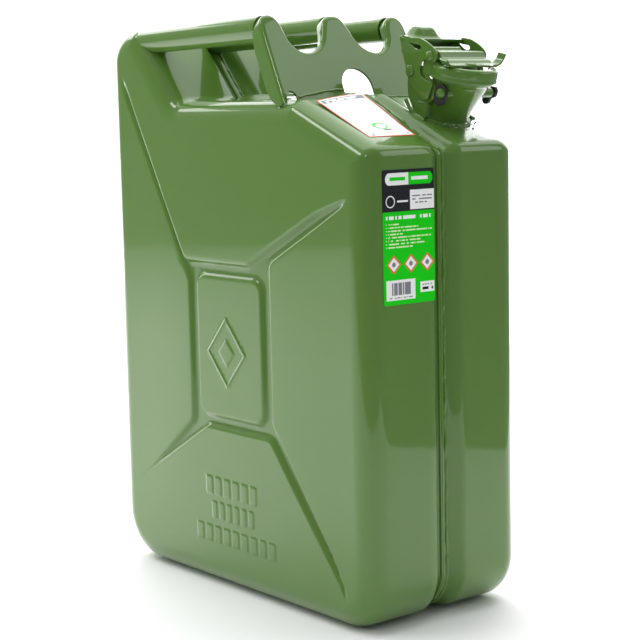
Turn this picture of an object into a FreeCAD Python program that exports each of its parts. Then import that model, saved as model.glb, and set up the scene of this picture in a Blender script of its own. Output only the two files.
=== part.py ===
import FreeCAD, Part
import math
import os
from FreeCAD import Placement, Rotation, Vector

# Twenty litre pressed steel fuel can, upright: +X towards the filler, +Z up,
# origin at the middle of the footprint. All lengths are in millimetres.

PARAMETERS = [
    ("body_length", 345.0, "rear face to front face"),
    ("body_half_width", 80.0, "seam plane to broad side"),
    ("body_height", 467.0, "base to top of the rear hump"),
    ("sheet_wall", 0.9, "pressed sheet thickness"),
    ("side_rounding", 20.0, "rounding between broad side and edge faces"),
    ("rear_base_radius", 45.0, "profile radius, rear foot"),
    ("front_base_radius", 38.0, "profile radius, front foot"),
    ("rear_top_radius", 30.0, "profile radius, rear top"),
    ("shoulder_front_height", 367.0, "top of the front face"),
    ("shoulder_crest_x", 84.0, "where the shoulder slope starts"),
    ("recess_floor_height", 404.0, "floor of the hand recess"),
    ("recess_rear_x", -75.0, "foot of the hump slope"),
    ("hump_peak_x", -130.0, "top of the hump slope"),
    ("seam_half_width", 9.0, "half width of the seam groove"),
    ("seam_depth", 5.0, "depth of the seam groove"),
    ("weld_half_width", 1.2, "half width of the seam weld"),
    ("channel_depth", 3.5, "depth of the pressed cross"),
    ("panel_half_length", 43.0, "half length of the centre panel"),
    ("panel_low", 148.0, "lower edge of the centre panel"),
    ("panel_high", 260.5, "upper edge of the centre panel"),
    ("channel_width", 14.0, "width of the channel around it"),
    ("grip_radius", 10.5, "outer radius of a handle tube"),
    ("grip_wall", 1.5, "wall of a handle tube"),
    ("grip_spacing", 64.0, "middle tube to outer tube"),
    ("grip_height", 455.0, "height of the tube axes at their rear end"),
    ("grip_rise", 1.3, "upward slope of the tubes in degrees"),
    ("grip_rear_x", -150.0, "rear end of a tube before it is mitred"),
    ("grip_front_x", 36.0, "front end of a tube"),
    ("support_foot_x", 71.0, "foot of the handle support"),
    ("support_top_x", 41.0, "top of the handle support"),
    ("support_top_height", 470.0, "top of the support lobes"),
    ("support_thickness", 2.0, "sheet of the handle support"),
    ("support_half_width", 75.0, "half width of the handle support"),
    ("arch_offset", 4.0, "arch in the support to seam plane"),
    ("arch_radius", 15.5, "radius of the arch over the seam"),
    ("neck_offset", 45.0, "neck axis to seam plane"),
    ("neck_base_x", 121.0, "neck centre on the shoulder"),
    ("neck_base_radius", 20.0, "neck radius on the shoulder"),
    ("neck_top_radius", 22.8, "neck radius under the rim"),
    ("neck_wall", 1.6, "neck wall"),
    ("rim_radius", 24.2, "outer radius of the mouth rim"),
    ("mouth_x", 146.0, "mouth centre"),
    ("mouth_height", 416.7, "mouth centre"),
    ("mouth_tilt", 12.0, "forward tilt of the mouth in degrees"),
    ("cap_radius", 26.5, "outer radius of the cap"),
    ("cap_height", 11.0, "height of the cap"),
    ("cap_wall", 1.7, "sheet of the cap"),
    ("cheek_inner", 25.1, "axis to inner face of a lever cheek"),
    ("cheek_thickness", 1.8, "sheet of the lever"),
    ("ear_inner", 22.8, "axis to inner face of a bracket ear"),
    ("ear_thickness", 1.8, "sheet of the bracket"),
    ("hinge_p", -31.8, "hinge axis behind the mouth centre"),
    ("hinge_s", 0.7, "hinge axis above the mouth plane"),
    ("hinge_radius", 2.5, "hinge pin radius"),
    ("pivot_p", -11.4, "cap pivot behind the mouth centre"),
    ("pivot_s", 15.9, "cap pivot above the mouth plane"),
    ("pivot_radius", 2.2, "cap rivet radius"),
    ("stud_p", 4.7, "latch stud ahead of the mouth centre"),
    ("stud_s", -9.9, "latch stud below the mouth plane"),
    ("stud_radius", 3.8, "latch stud radius"),
    ("label_thickness", 0.25, "printed film"),
    ("front_label_width", 51.0, "front label, across"),
    ("front_label_height", 100.0, "front label, up"),
    ("front_label_base", 251.5, "front label, lower edge"),
    ("front_label_near", -62.5, "front label, outer edge"),
    ("top_label_length", 67.0, "shoulder label, down the slope"),
    ("top_label_width", 46.0, "shoulder label, across"),
    ("running_gap", 0.08, "radial play of a pin in its hole"),
]

doc = FreeCAD.newDocument("fuel_can")
sheet = doc.addObject("Spreadsheet::Sheet", "dims")
for row, (name, value, note) in enumerate(PARAMETERS, start=1):
    sheet.set(f"A{row}", name)
    sheet.set(f"B{row}", str(value))
    sheet.set(f"C{row}", note)
    sheet.setAlias(f"B{row}", name)
doc.recompute()


def dim(name):
    """Value of one driving dimension."""
    return float(sheet.get(name))


def add_feature(label, shape, placement=None):
    """A sub-part whose shape follows the sheet through the functions below."""
    feature = doc.addObject("Part::Feature", label)
    feature.Label = label
    feature.Shape = shape
    if placement is not None:
        feature.Placement = placement
    return feature


# ---------------------------------------------------------------- outline

def outline_corners():
    """Side profile of the can as corners (x, z, radius), anticlockwise."""
    half = dim("body_length") / 2
    return [
        (-half, 0.0, dim("rear_base_radius")),
        (half, 0.0, dim("front_base_radius")),
        (half, dim("shoulder_front_height"), 12.0),
        (dim("shoulder_crest_x"), dim("recess_floor_height"), 14.0),
        (dim("recess_rear_x"), dim("recess_floor_height"), 14.0),
        (dim("hump_peak_x"), dim("body_height"), 12.0),
        (-half, dim("body_height"), dim("rear_top_radius")),
    ]


def inset_corners(corners, inset):
    """Corners moved inwards by inset, with radii that keep the sheet parallel."""
    count = len(corners)
    lines = []
    for i in range(count):
        x0, z0, _ = corners[i]
        x1, z1, _ = corners[(i + 1) % count]
        length = math.hypot(x1 - x0, z1 - z0)
        nx, nz = -(z1 - z0) / length, (x1 - x0) / length
        lines.append((nx, nz, nx * x0 + nz * z0 + inset))
    result = []
    for i in range(count):
        a0, b0, c0 = lines[i - 1]
        a1, b1, c1 = lines[i]
        det = a0 * b1 - a1 * b0
        x = (c0 * b1 - c1 * b0) / det
        z = (a0 * c1 - a1 * c0) / det
        radius = corners[i][2]
        convex = det > 0
        radius = max(radius - inset, 2.0) if convex else radius + inset
        result.append((x, z, radius))
    return result


def rounded_wire(corners, y):
    """Closed wire of lines and arcs through rounded corners in the plane y."""
    count = len(corners)
    tangents = []
    for i in range(count):
        x, z, radius = corners[i]
        px, pz, _ = corners[i - 1]
        nx, nz, _ = corners[(i + 1) % count]
        back = Vector(px - x, 0, pz - z).normalize()
        ahead = Vector(nx - x, 0, nz - z).normalize()
        half_angle = back.getAngle(ahead) / 2
        reach = radius / math.tan(half_angle)
        corner = Vector(x, y, z)
        middle = (back + ahead).normalize()
        depth = radius / math.sin(half_angle) - radius
        tangents.append((corner + back * reach, corner + middle * depth, corner + ahead * reach))
    edges = []
    for i in range(count):
        start, middle, end = tangents[i]
        edges.append(Part.Arc(start, middle, end).toShape())
        edges.append(Part.LineSegment(end, tangents[(i + 1) % count][0]).toShape())
    return Part.Wire(edges)


def profile_solid(inset, y_from, y_to):
    """The inset side profile, extruded between two planes."""
    wire = rounded_wire(inset_corners(outline_corners(), inset), y_from)
    return Part.Face(wire).extrude(Vector(0, y_to - y_from, 0))


def rounded_half(offset):
    """One half of the body, rounded towards its broad side."""
    radius = dim("side_rounding")
    outer_y = -dim("body_half_width") + offset
    wires = []
    for angle in (0, 20, 40, 60, 90):
        turn = math.radians(angle)
        inset = offset + (radius - offset) * (1 - math.sin(turn))
        y = outer_y + (radius - offset) * (1 - math.cos(turn))
        wires.append(rounded_wire(inset_corners(outline_corners(), inset), y))
    wires.append(rounded_wire(inset_corners(outline_corners(), offset), -dim("seam_half_width") - offset))
    return Part.makeLoft(wires, True, True)


# ---------------------------------------------------------------- pressed cross

def channel_outlines():
    """The sunken cross of a broad side: a frame and four arms, as (x, z) corners."""
    half = dim("panel_half_length")
    low = dim("panel_low")
    high = dim("panel_high")
    width = dim("channel_width")
    frame = [
        [(-half - width, high), (half + width, high), (half + width, high + width), (-half - width, high + width)],
        [(-half - width, low - width), (half + width, low - width), (half + width, low), (-half - width, low)],
        [(-half - width, low - width), (-half, low - width), (-half, high + width), (-half - width, high + width)],
        [(half, low - width), (half + width, low - width), (half + width, high + width), (half, high + width)],
    ]
    arms = [
        [(-50, 270), (-61, 277), (-122, 380), (-129, 375), (-63, 262), (-50, 245)],
        [(25, 270), (52, 262), (124, 312), (126, 324), (112, 320)],
        [(-34, 140), (-55, 150), (-124, 92), (-122, 84)],
        [(50, 138), (52, 158), (127, 58), (131, 38)],
    ]
    return frame + arms


def channel_tools(margin):
    """Prisms that sink the cross, grown by margin all round."""
    face_y = -dim("body_half_width")
    depth = dim("channel_depth")
    tools = []
    for corners in channel_outlines():
        points = [Vector(x, face_y - 5, z) for x, z in corners]
        face = Part.Face(Part.makePolygon(points + points[:1]))
        if margin > 0:
            face = face.makeOffset2D(margin, 2)
        tools.append(face.extrude(Vector(0, 5 + depth + margin, 0)))
    return tools


def right_shell_shape():
    """Pressed half shell on the -Y side, open towards the seam."""
    wall = dim("sheet_wall")
    seam_y = -dim("weld_half_width") - 0.05
    rim = profile_solid(dim("seam_depth"), -dim("seam_half_width") - 0.5, seam_y)
    outer = rounded_half(0.0).cut(channel_tools(0.0)).fuse(rim)
    cavity = rounded_half(wall).cut(channel_tools(wall))
    mouth = profile_solid(dim("seam_depth") + wall, -dim("seam_half_width") - wall - 0.5, 1.0)
    return outer.cut([cavity, mouth])


def neck_frame():
    """Placement of the closure: X forward and Z up across the mouth plane."""
    origin = Vector(dim("mouth_x"), dim("neck_offset"), dim("mouth_height"))
    return Placement(origin, Rotation(Vector(0, 1, 0), dim("mouth_tilt")))


def shoulder_point(x):
    """Height of the shoulder slope at x."""
    run = dim("body_length") / 2 - dim("shoulder_crest_x")
    fall = dim("recess_floor_height") - dim("shoulder_front_height")
    return dim("recess_floor_height") - (x - dim("shoulder_crest_x")) * fall / run


def shoulder_normal():
    """Outward direction of the shoulder slope."""
    run = dim("body_length") / 2 - dim("shoulder_crest_x")
    fall = dim("recess_floor_height") - dim("shoulder_front_height")
    return Vector(fall, 0, run).normalize()


def neck_base():
    """Neck centre on the shoulder slope."""
    x = dim("neck_base_x")
    return Vector(x, dim("neck_offset"), shoulder_point(x))


def left_shell_shape():
    """Pressed half shell on the +Y side, with the hole under the neck."""
    mirrored = right_shell_shape().mirror(Vector(0, 0, 0), Vector(0, 1, 0))
    radius = dim("neck_base_radius") - dim("neck_wall")
    hole = Part.makeCylinder(radius, 20, neck_base() - shoulder_normal() * 10, shoulder_normal())
    return mirrored.cut(hole)


def seam_weld_shape():
    """Weld bead that joins the two shells in the bottom of the groove."""
    half = dim("weld_half_width")
    outer = profile_solid(dim("seam_depth") - 1.6, -half, half)
    inner = profile_solid(dim("seam_depth") + dim("sheet_wall"), -half - 1, half + 1)
    return outer.cut(inner)


add_feature("right_shell", right_shell_shape())
add_feature("left_shell", left_shell_shape())
add_feature("seam_weld", seam_weld_shape())


# ---------------------------------------------------------------- carrying handle

def body_block():
    """Solid envelope of the body, used to mitre what is welded to it."""
    near = rounded_half(0.0)
    middle = profile_solid(0.0, -dim("seam_half_width") - 0.01, dim("seam_half_width") + 0.01)
    far = near.mirror(Vector(0, 0, 0), Vector(0, 1, 0))
    return near.fuse([middle, far])


BODY = add_feature("body_envelope", body_block())


def add_grip(label, side):
    """One handle tube, bound to the sheet and mitred against the hump."""
    tube = doc.addObject("Part::Cylinder", label + "_outer")
    bore = doc.addObject("Part::Cylinder", label + "_bore")
    tube.setExpression("Radius", "dims.grip_radius")
    bore.setExpression("Radius", "dims.grip_radius - dims.grip_wall")
    tube.setExpression("Height", "dims.grip_front_x - dims.grip_rear_x")
    bore.setExpression("Height", "dims.grip_front_x - dims.grip_rear_x + 40")
    for cylinder, start in ((tube, "dims.grip_rear_x"), (bore, "dims.grip_rear_x - 20")):
        cylinder.Placement.Rotation = Rotation(Vector(0, 1, 0), 90 - dim("grip_rise"))
        cylinder.setExpression("Placement.Base.x", start)
        cylinder.setExpression("Placement.Base.y", f"{side} * dims.grip_spacing")
        cylinder.setExpression("Placement.Base.z", "dims.grip_height")
    hollow = doc.addObject("Part::Cut", label + "_tube")
    hollow.Base = tube
    hollow.Tool = bore
    grip = doc.addObject("Part::Cut", label)
    grip.Label = label
    grip.Base = hollow
    grip.Tool = BODY
    return grip


def lobe_outline():
    """Right half of the lobed top edge, from the middle lobe outwards, as (y, z)."""
    return [
        (0, 470.0), (5, 469.3), (9.2, 466.4), (12.6, 460.8), (15.6, 454.0), (19.0, 448.3),
        (24.0, 443.9), (29.5, 441.2), (35.5, 440.2), (41.5, 441.4), (47.0, 444.9), (51.0, 450.4),
        (53.0, 457.0), (55.0, 463.6), (59.0, 468.4), (64.5, 470.0), (70.0, 468.2), (73.8, 463.0),
    ]


def support_sheet():
    """Lobed face of the handle support, flat, X across the can and Y up the sheet."""
    rise = dim("support_top_height") - dim("recess_floor_height")
    stretch = math.hypot(dim("support_foot_x") - dim("support_top_x"), rise) / rise
    half = dim("support_half_width")
    right = [Vector(y, (z - dim("recess_floor_height")) * stretch, 0) for y, z in lobe_outline()]
    left = [Vector(-point.x, point.y, 0) for point in reversed(right[1:])]
    top = Part.BSplineCurve()
    top.interpolate(left + right)
    shoulder = (456.0 - dim("recess_floor_height")) * stretch
    corners = [right[-1], Vector(half, shoulder, 0), Vector(half, 0, 0), Vector(-half, 0, 0),
               Vector(-half, shoulder, 0), left[0]]
    wire = Part.Wire([top.toShape()] + Part.makePolygon(corners).Edges)
    plate = Part.Face(wire).extrude(Vector(0, 0, dim("support_thickness")))
    radius = dim("arch_radius")
    arch_centre = Vector(dim("arch_offset"), 9.5, -1)
    arch = Part.makeCylinder(radius, 4, arch_centre)
    arch_foot = Part.makeBox(2 * radius, 12, 4, arch_centre - Vector(radius, 12, 0))
    return plate.cut([arch, arch_foot])


def support_back_x(z):
    """Rear face of the leaning support sheet at height z."""
    rise = dim("support_top_height") - dim("recess_floor_height")
    run = dim("support_foot_x") - dim("support_top_x")
    return dim("support_foot_x") - (z - dim("recess_floor_height")) * run / rise


def support_flange(side):
    """Wedge shaped return flange on one side of the support."""
    thickness = dim("support_thickness")
    low = dim("recess_floor_height") - 3.0
    high = dim("support_top_height") - 13.0
    y = side * dim("support_half_width") - (thickness if side > 0 else 0)
    overlap = 0.6
    corners = [
        (support_back_x(low) + overlap, low),
        (support_back_x(high) + overlap, high),
        (support_back_x(high) - 15.5, high - 3.0),
        (support_back_x(high) - 4.0, high - 26.0),
        (support_back_x(low) - 17.0, low + 10.0),
        (support_back_x(low) - 9.0, low - 1.0),
    ]
    points = [Vector(x, y, z) for x, z in corners]
    return Part.Face(Part.makePolygon(points + points[:1])).extrude(Vector(0, thickness, 0))


def support_shape():
    """Handle support standing behind the shoulder crest, leaning back to the tubes."""
    rise = dim("support_top_height") - dim("recess_floor_height")
    run = dim("support_foot_x") - dim("support_top_x")
    across = Vector(0, 1, 0)
    upwards = Vector(-run, 0, rise).normalize()
    forward = across.cross(upwards)
    matrix = FreeCAD.Matrix(
        across.x, upwards.x, forward.x, dim("support_foot_x"),
        across.y, upwards.y, forward.y, 0,
        across.z, upwards.z, forward.z, dim("recess_floor_height"),
        0, 0, 0, 1,
    )
    sheet_shape = support_sheet().transformGeometry(matrix)
    return sheet_shape.fuse([support_flange(-1), support_flange(1)]).cut(BODY.Shape)


def support_weld_shape():
    """Fillet weld along the foot of the support, both sides of its arch."""
    beads = []
    centre_z = dim("recess_floor_height") + 1.2
    for start in (-58.0, 20.0):
        centre = Vector(dim("support_foot_x") + 3.4, start, centre_z)
        beads.append(Part.makeCylinder(1.8, 38.0, centre, Vector(0, 1, 0)))
    return Part.makeCompound([bead.cut([BODY.Shape, support.Shape]) for bead in beads])


right_grip = add_grip("right_grip", -1)
middle_grip = add_grip("middle_grip", 0)
left_grip = add_grip("left_grip", 1)
support = add_feature("handle_support", support_shape())
doc.recompute()
add_feature("support_weld", support_weld_shape())


# ---------------------------------------------------------------- neck

def leaning_cone(base_radius, top_radius, extend):
    """Oblique cone from the shoulder slope up to the mouth plane."""
    frame = neck_frame()
    up = frame.Rotation.multVec(Vector(0, 0, 1))
    base = neck_base() - shoulder_normal() * extend
    top = frame.Base + up * (1.2 + extend)
    low = Part.Wire(Part.makeCircle(base_radius, base, shoulder_normal()))
    high = Part.Wire(Part.makeCircle(top_radius, top, up))
    return Part.makeLoft([low, high], True, True)


def neck_shape():
    """Leaning neck with a rolled rim at the mouth."""
    frame = neck_frame()
    wall = dim("neck_wall")
    outer = leaning_cone(dim("neck_base_radius"), dim("neck_top_radius"), 0.0)
    rim = Part.makeCylinder(dim("rim_radius"), 3.0, Vector(0, 0, -1.8))
    rim.Placement = frame
    inner = leaning_cone(dim("neck_base_radius") - wall, dim("neck_top_radius") - wall, 2.0)
    return outer.fuse(rim).cut(inner)


def neck_block():
    """Neck without its bore, used to fit the bracket and studs to it."""
    return leaning_cone(dim("neck_base_radius"), dim("neck_top_radius"), 0.0)


def neck_weld_shape():
    """Weld bead around the foot of the neck."""
    ring = Part.makeTorus(dim("neck_base_radius") + 1.0, 2.0, neck_base(), shoulder_normal())
    return ring.cut([BODY.Shape, neck_block()])


add_feature("neck", neck_shape())
add_feature("neck_weld", neck_weld_shape())


# ---------------------------------------------------------------- closure, in the mouth frame

def side_plate(corners, inner, thickness, side):
    """A plate across Y from (forward, up) corners, on one side of the axis."""
    y = inner if side > 0 else -inner - thickness
    points = [Vector(p, y, s) for p, s in corners]
    return Part.Face(Part.makePolygon(points + points[:1])).extrude(Vector(0, thickness, 0))


def cross_rod(p, s, radius, y_from, y_to):
    """A round rod across Y."""
    return Part.makeCylinder(radius, y_to - y_from, Vector(p, y_from, s), Vector(0, 1, 0))


def local_neck_block():
    """Neck block expressed in the mouth frame."""
    block = neck_block()
    block.transformShape(neck_frame().inverse().toMatrix())
    return block


def bracket_shape():
    """Hinge bracket: two ears, a web behind the neck and two feet on its sides."""
    ear = [
        (-36.2, 3.0), (-36.2, -8.0), (-33.0, -20.0), (-22.0, -29.5), (-9.0, -31.0), (3.5, -31.0),
        (3.5, -21.5), (-9.0, -19.0), (-15.0, -9.0), (-22.0, 0.5), (-28.0, 4.5), (-33.0, 5.2),
    ]
    solids = []
    for side in (-1, 1):
        solids.append(side_plate(ear, dim("ear_inner"), dim("ear_thickness"), side))
        foot_corners = [(-9.0, -31.0), (3.5, -31.0), (3.5, -21.5), (-9.0, -21.5)]
        solids.append(side_plate(foot_corners, 14.0, 12.4, side))
    web_corners = [(-36.2, -6.0), (-34.2, -6.0), (-31.0, -20.0), (-33.0, -20.0)]
    reach = dim("ear_inner") + dim("ear_thickness")
    solids.append(side_plate(web_corners, -reach, 2 * reach, 1))
    bracket = solids[0].fuse(solids[1:]).cut(local_neck_block())
    hole = cross_rod(dim("hinge_p"), dim("hinge_s"), dim("hinge_radius") + 0.02, -40, 40)
    return bracket.cut(hole)


def lever_shape():
    """Cam lever: two cheeks and an arched thumb web behind the cap."""
    cheek = [
        (-49.6, 25.5), (-38.7, 24.2), (-33.0, 26.8), (-24.0, 27.4), (-14.0, 25.0), (-5.7, 21.0),
        (-4.2, 16.0), (-6.0, 12.2), (-12.0, 11.6), (-18.0, 12.4), (-21.0, 9.0), (-21.5, 3.0),
        (-19.0, -1.0), (-12.0, -3.4), (-7.5, -2.6), (-5.0, -4.4), (-7.0, -12.0), (-8.6, -18.2),
        (-14.0, -18.6), (-24.0, -13.5), (-33.5, -5.5), (-37.0, 1.0), (-43.0, 12.0),
    ]
    inner = dim("cheek_inner")
    thickness = dim("cheek_thickness")
    solids = [side_plate(cheek, inner, thickness, side) for side in (-1, 1)]
    half = inner + thickness
    crown = 10.0
    radius = (half ** 2 + crown ** 2) / (2 * crown)
    centre_s = 25.0 + crown - radius
    arch = cross_section_arch(radius, thickness, centre_s, half)
    solids.append(arch)
    lever = solids[0].fuse(solids[1:])
    holes = [
        cross_rod(dim("hinge_p"), dim("hinge_s"), dim("hinge_radius") + dim("running_gap"), -40, 40),
        cross_rod(dim("pivot_p"), dim("pivot_s"), dim("pivot_radius") + 0.02, -40, 40),
        cross_rod(-25.0, 20.3, 2.4, -40, 40),
    ]
    return lever.cut(holes)


def cross_section_arch(radius, thickness, centre_s, half):
    """Arched sheet between the cheeks, running fore and aft."""
    start, length = -49.0, 19.0
    forward = Vector(1, 0, 0)
    outer = Part.makeCylinder(radius, length, Vector(start, 0, centre_s), forward)
    inner = Part.makeCylinder(radius - thickness, length + 2, Vector(start - 1, 0, centre_s), forward)
    keep = Part.makeBox(length, 2 * half, 40, Vector(start, -half, 24.4))
    return outer.cut(inner).common(keep)


def cap_shape():
    """Cap: shallow pan turned down over the mouth, dished on top."""
    radius = dim("cap_radius")
    height = dim("cap_height")
    wall = dim("cap_wall")
    body = Part.makeCylinder(radius, height)
    top_edges = [e for e in body.Edges if abs(e.BoundBox.ZMin - height) < 0.01 and e.Closed]
    body = body.makeFillet(3.0, top_edges[:1])
    hollow = Part.makeCylinder(radius - wall, height - wall + 1, Vector(0, 0, -1))
    dish = Part.makeCone(20.5, 19.5, 1.0, Vector(0, 0, height - 1.0))
    return body.cut([hollow, dish])


def bridge_shape():
    """Ridged bridge over the cap, with turned-up wings and two pivot lugs."""
    thickness = 1.5
    profile = [
        (-23.5, 17.5), (-22.5, 20.8), (-19.5, 21.6), (-17.0, 19.6), (-12.5, 18.6), (-8.5, 19.6),
        (-4.5, 20.4), (-1.0, 18.4), (1.0, 14.4), (11.5, 12.6),
    ]
    lower = [(p, s - thickness) for p, s in reversed(profile)]
    plate = side_plate(profile + lower, -22.0, 44.0, 1)
    solids = []
    for side in (-1, 1):
        lug = [(-15.8, 12.0), (-6.8, 12.0), (-5.0, 17.5), (-9.0, 19.2), (-15.8, 18.2)]
        solids.append(side_plate(lug, 22.0, 2.8, side))
        wing = [(22.0, 14.4), (26.0, 14.9), (29.5, 17.4), (31.5, 20.6), (30.2, 21.4)]
        wing += [(28.2, 18.4), (25.4, 16.2), (22.0, 15.9)]
        points = [Vector(2.5, side * y, s - 1.6) for y, s in wing]
        face = Part.Face(Part.makePolygon(points + points[:1]))
        solids.append(face.extrude(Vector(8.5, 0, 0)))
    solids.append(Part.makeBox(10.0, 44.4, thickness, Vector(1.5, -22.2, 12.8)))
    solids.append(Part.makeCylinder(5.0, 3.6, Vector(6.0, 0, dim("cap_height") - 1.0)))
    bridge = plate.fuse(solids)
    return bridge.cut(cross_rod(dim("pivot_p"), dim("pivot_s"), dim("pivot_radius") + dim("running_gap"), -40, 40))


def stud_shape(side):
    """Latch stud on the side of the neck, with a flat on its under side."""
    p, s, radius = dim("stud_p"), dim("stud_s"), dim("stud_radius")
    span = (12.0, 28.0) if side > 0 else (-28.0, -12.0)
    rod = cross_rod(p, s, radius, span[0], span[1])
    flat = Part.makeBox(20, 40, 10, Vector(p - 10, span[0] - 2, s - radius - 8.6))
    return rod.cut([flat, local_neck_block()])


def keeper_shape():
    """Two-lobed plastic keeper pressed over the outer end of the left stud."""
    lobes = [
        cross_rod(dim("stud_p"), dim("stud_s"), 5.0, 28.05, 31.5),
        cross_rod(dim("stud_p") - 5.5, dim("stud_s") - 6.6, 4.2, 28.05, 31.5),
    ]
    return lobes[0].fuse(lobes[1])


def hinge_pin_shape():
    """Headed pin through ears and cheeks."""
    outer = dim("cheek_inner") + dim("cheek_thickness") + 0.15
    p, s, radius = dim("hinge_p"), dim("hinge_s"), dim("hinge_radius")
    rod = cross_rod(p, s, radius, -outer - 0.5, outer + 0.5)
    heads = [cross_rod(p, s, radius + 2.2, -outer - 1.6, -outer), cross_rod(p, s, radius + 2.2, outer, outer + 1.6)]
    return rod.fuse(heads)


def cap_rivets_shape():
    """The two rivets that carry the bridge in the lever cheeks."""
    inner = dim("cheek_inner") + dim("cheek_thickness") + 0.02
    p, s, radius = dim("pivot_p"), dim("pivot_s"), dim("pivot_radius")
    rivets = []
    for side in (-1, 1):
        stem = cross_rod(p, s, radius, min(side * 21.0, side * inner), max(side * 21.0, side * inner))
        near = min(side * inner, side * (inner + 1.8))
        head = cross_rod(p, s, 4.2, near, near + 1.8)
        rivets.append(stem.fuse(head))
    return Part.makeCompound(rivets)


def add_gasket():
    """Rubber ring in the cap, bound to the sheet."""
    ring = doc.addObject("Part::Cylinder", "gasket_outer")
    bore = doc.addObject("Part::Cylinder", "gasket_bore")
    ring.setExpression("Radius", "dims.cap_radius - dims.cap_wall - 0.1")
    ring.Height = 7.9
    bore.Radius = 15.0
    bore.Height = 12.0
    bore.Placement.Base = Vector(0, 0, -1)
    gasket = doc.addObject("Part::Cut", "cap_gasket")
    gasket.Label = "cap_gasket"
    gasket.Base = ring
    gasket.Tool = bore
    frame = neck_frame()
    lift = frame.Rotation.multVec(Vector(0, 0, 1.35))
    gasket.Placement = Placement(frame.Base + lift, frame.Rotation)


closure = neck_frame()
add_feature("hinge_bracket", bracket_shape(), closure)
add_feature("hinge_pin", hinge_pin_shape(), closure)
add_feature("right_latch_stud", stud_shape(-1), closure)
add_feature("left_latch_stud", stud_shape(1), closure)
add_feature("stud_keeper", keeper_shape(), closure)
add_feature("cam_lever", lever_shape(), closure)
add_feature("cap_pan", cap_shape(), closure)
add_feature("cap_bridge", bridge_shape(), closure)
add_feature("cap_rivets", cap_rivets_shape(), closure)
add_gasket()


# ---------------------------------------------------------------- labels

def add_label(label, sizes, placement_terms, rotation):
    """A printed film, as a thin box bound to the sheet."""
    film = doc.addObject("Part::Box", label)
    film.Label = label
    for side, term in zip(("Length", "Width", "Height"), sizes):
        film.setExpression(side, term)
    film.Placement.Rotation = rotation
    for axis, term in zip("xyz", placement_terms):
        film.setExpression("Placement.Base." + axis, term)


add_label(
    "front_label",
    ("dims.label_thickness", "dims.front_label_width", "dims.front_label_height"),
    ("dims.body_length / 2 + 0.02", "dims.front_label_near", "dims.front_label_base"),
    Rotation(),
)
slope = math.degrees(math.atan2(shoulder_normal().x, shoulder_normal().z))
label_start = Vector(91.0, -57.0, shoulder_point(91.0)) + shoulder_normal() * 0.02
add_label(
    "shoulder_label",
    ("dims.top_label_length", "dims.top_label_width", "dims.label_thickness"),
    (str(label_start.x), str(label_start.y), str(label_start.z)),
    Rotation(Vector(0, 1, 0), slope),
)

# ---------------------------------------------------------------- checks and export

NODES = [
    "right_shell", "left_shell", "seam_weld", "right_grip", "middle_grip", "left_grip",
    "handle_support", "support_weld", "neck", "neck_weld", "hinge_bracket", "hinge_pin",
    "right_latch_stud", "left_latch_stud", "stud_keeper", "cam_lever", "cap_pan",
    "cap_bridge", "cap_rivets", "cap_gasket", "front_label", "shoulder_label",
]

doc.recompute()
for item in doc.Objects:
    if "Invalid" in item.State or "Error" in item.State:
        raise RuntimeError(f"{item.Name} failed to recompute: {item.State}")

os.makedirs("parts", exist_ok=True)
for node in NODES:
    found = [item for item in doc.Objects if item.Label == node]
    if len(found) != 1:
        raise RuntimeError(f"{node}: {len(found)} objects carry this label")
    shape = found[0].Shape
    if shape.isNull() or not shape.isValid():
        raise RuntimeError(f"{node}: shape is null or invalid")
    box = shape.BoundBox
    print(f"{node:18s} solids {len(shape.Solids)}  volume {shape.Volume:10.1f}  "
          f"x {box.XMin:7.1f} {box.XMax:7.1f}  y {box.YMin:6.1f} {box.YMax:6.1f}  z {box.ZMin:6.1f} {box.ZMax:6.1f}")
    shape.exportStep(os.path.join("parts", node + ".step"))
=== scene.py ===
"""Visual model of a twenty litre pressed steel fuel can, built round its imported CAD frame.

Lengths inside the classes are millimetres in the frame of the can: X towards the filler,
Z up, the broad sides across Y. They become metres when a mesh is made.
"""

import logging
import math
from dataclasses import dataclass, field
from enum import Enum
from typing import Callable, Iterable, Sequence

import bmesh
import bpy
import numpy as np
from mathutils import Matrix, Vector
from mathutils.geometry import delaunay_2d_cdt, tessellate_polygon


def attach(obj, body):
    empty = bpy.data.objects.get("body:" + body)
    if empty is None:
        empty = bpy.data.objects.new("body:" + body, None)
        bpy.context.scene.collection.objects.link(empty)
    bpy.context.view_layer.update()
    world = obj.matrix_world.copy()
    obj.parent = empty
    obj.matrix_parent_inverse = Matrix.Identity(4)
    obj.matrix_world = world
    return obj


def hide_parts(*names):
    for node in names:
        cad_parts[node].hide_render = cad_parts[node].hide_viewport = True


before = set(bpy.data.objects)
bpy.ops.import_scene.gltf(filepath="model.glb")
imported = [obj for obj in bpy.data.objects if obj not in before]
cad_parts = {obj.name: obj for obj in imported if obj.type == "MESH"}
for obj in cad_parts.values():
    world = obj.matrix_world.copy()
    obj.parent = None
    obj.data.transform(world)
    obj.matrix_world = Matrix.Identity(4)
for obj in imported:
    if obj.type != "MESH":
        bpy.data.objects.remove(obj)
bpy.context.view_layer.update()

MM = 0.001
Flat = tuple[float, float]
Spot = tuple[float, float, float]
Loop = list[Flat]

log = logging.getLogger("fuel_can")


class Body(Enum):
    """Moving bodies of the frame."""

    CAN = "can"
    LEVER = "lever"
    CAP = "cap"


class Slot(Enum):
    """Material slots of the record."""

    ENAMEL = "green_enamel"
    PLASTIC = "black_plastic"
    RUBBER = "black_rubber"
    FILM = "printed_film"


class Side(Enum):
    """Which half of the can a pressing belongs to."""

    RIGHT = -1
    LEFT = 1


# ---------------------------------------------------------------- shader maths

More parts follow.
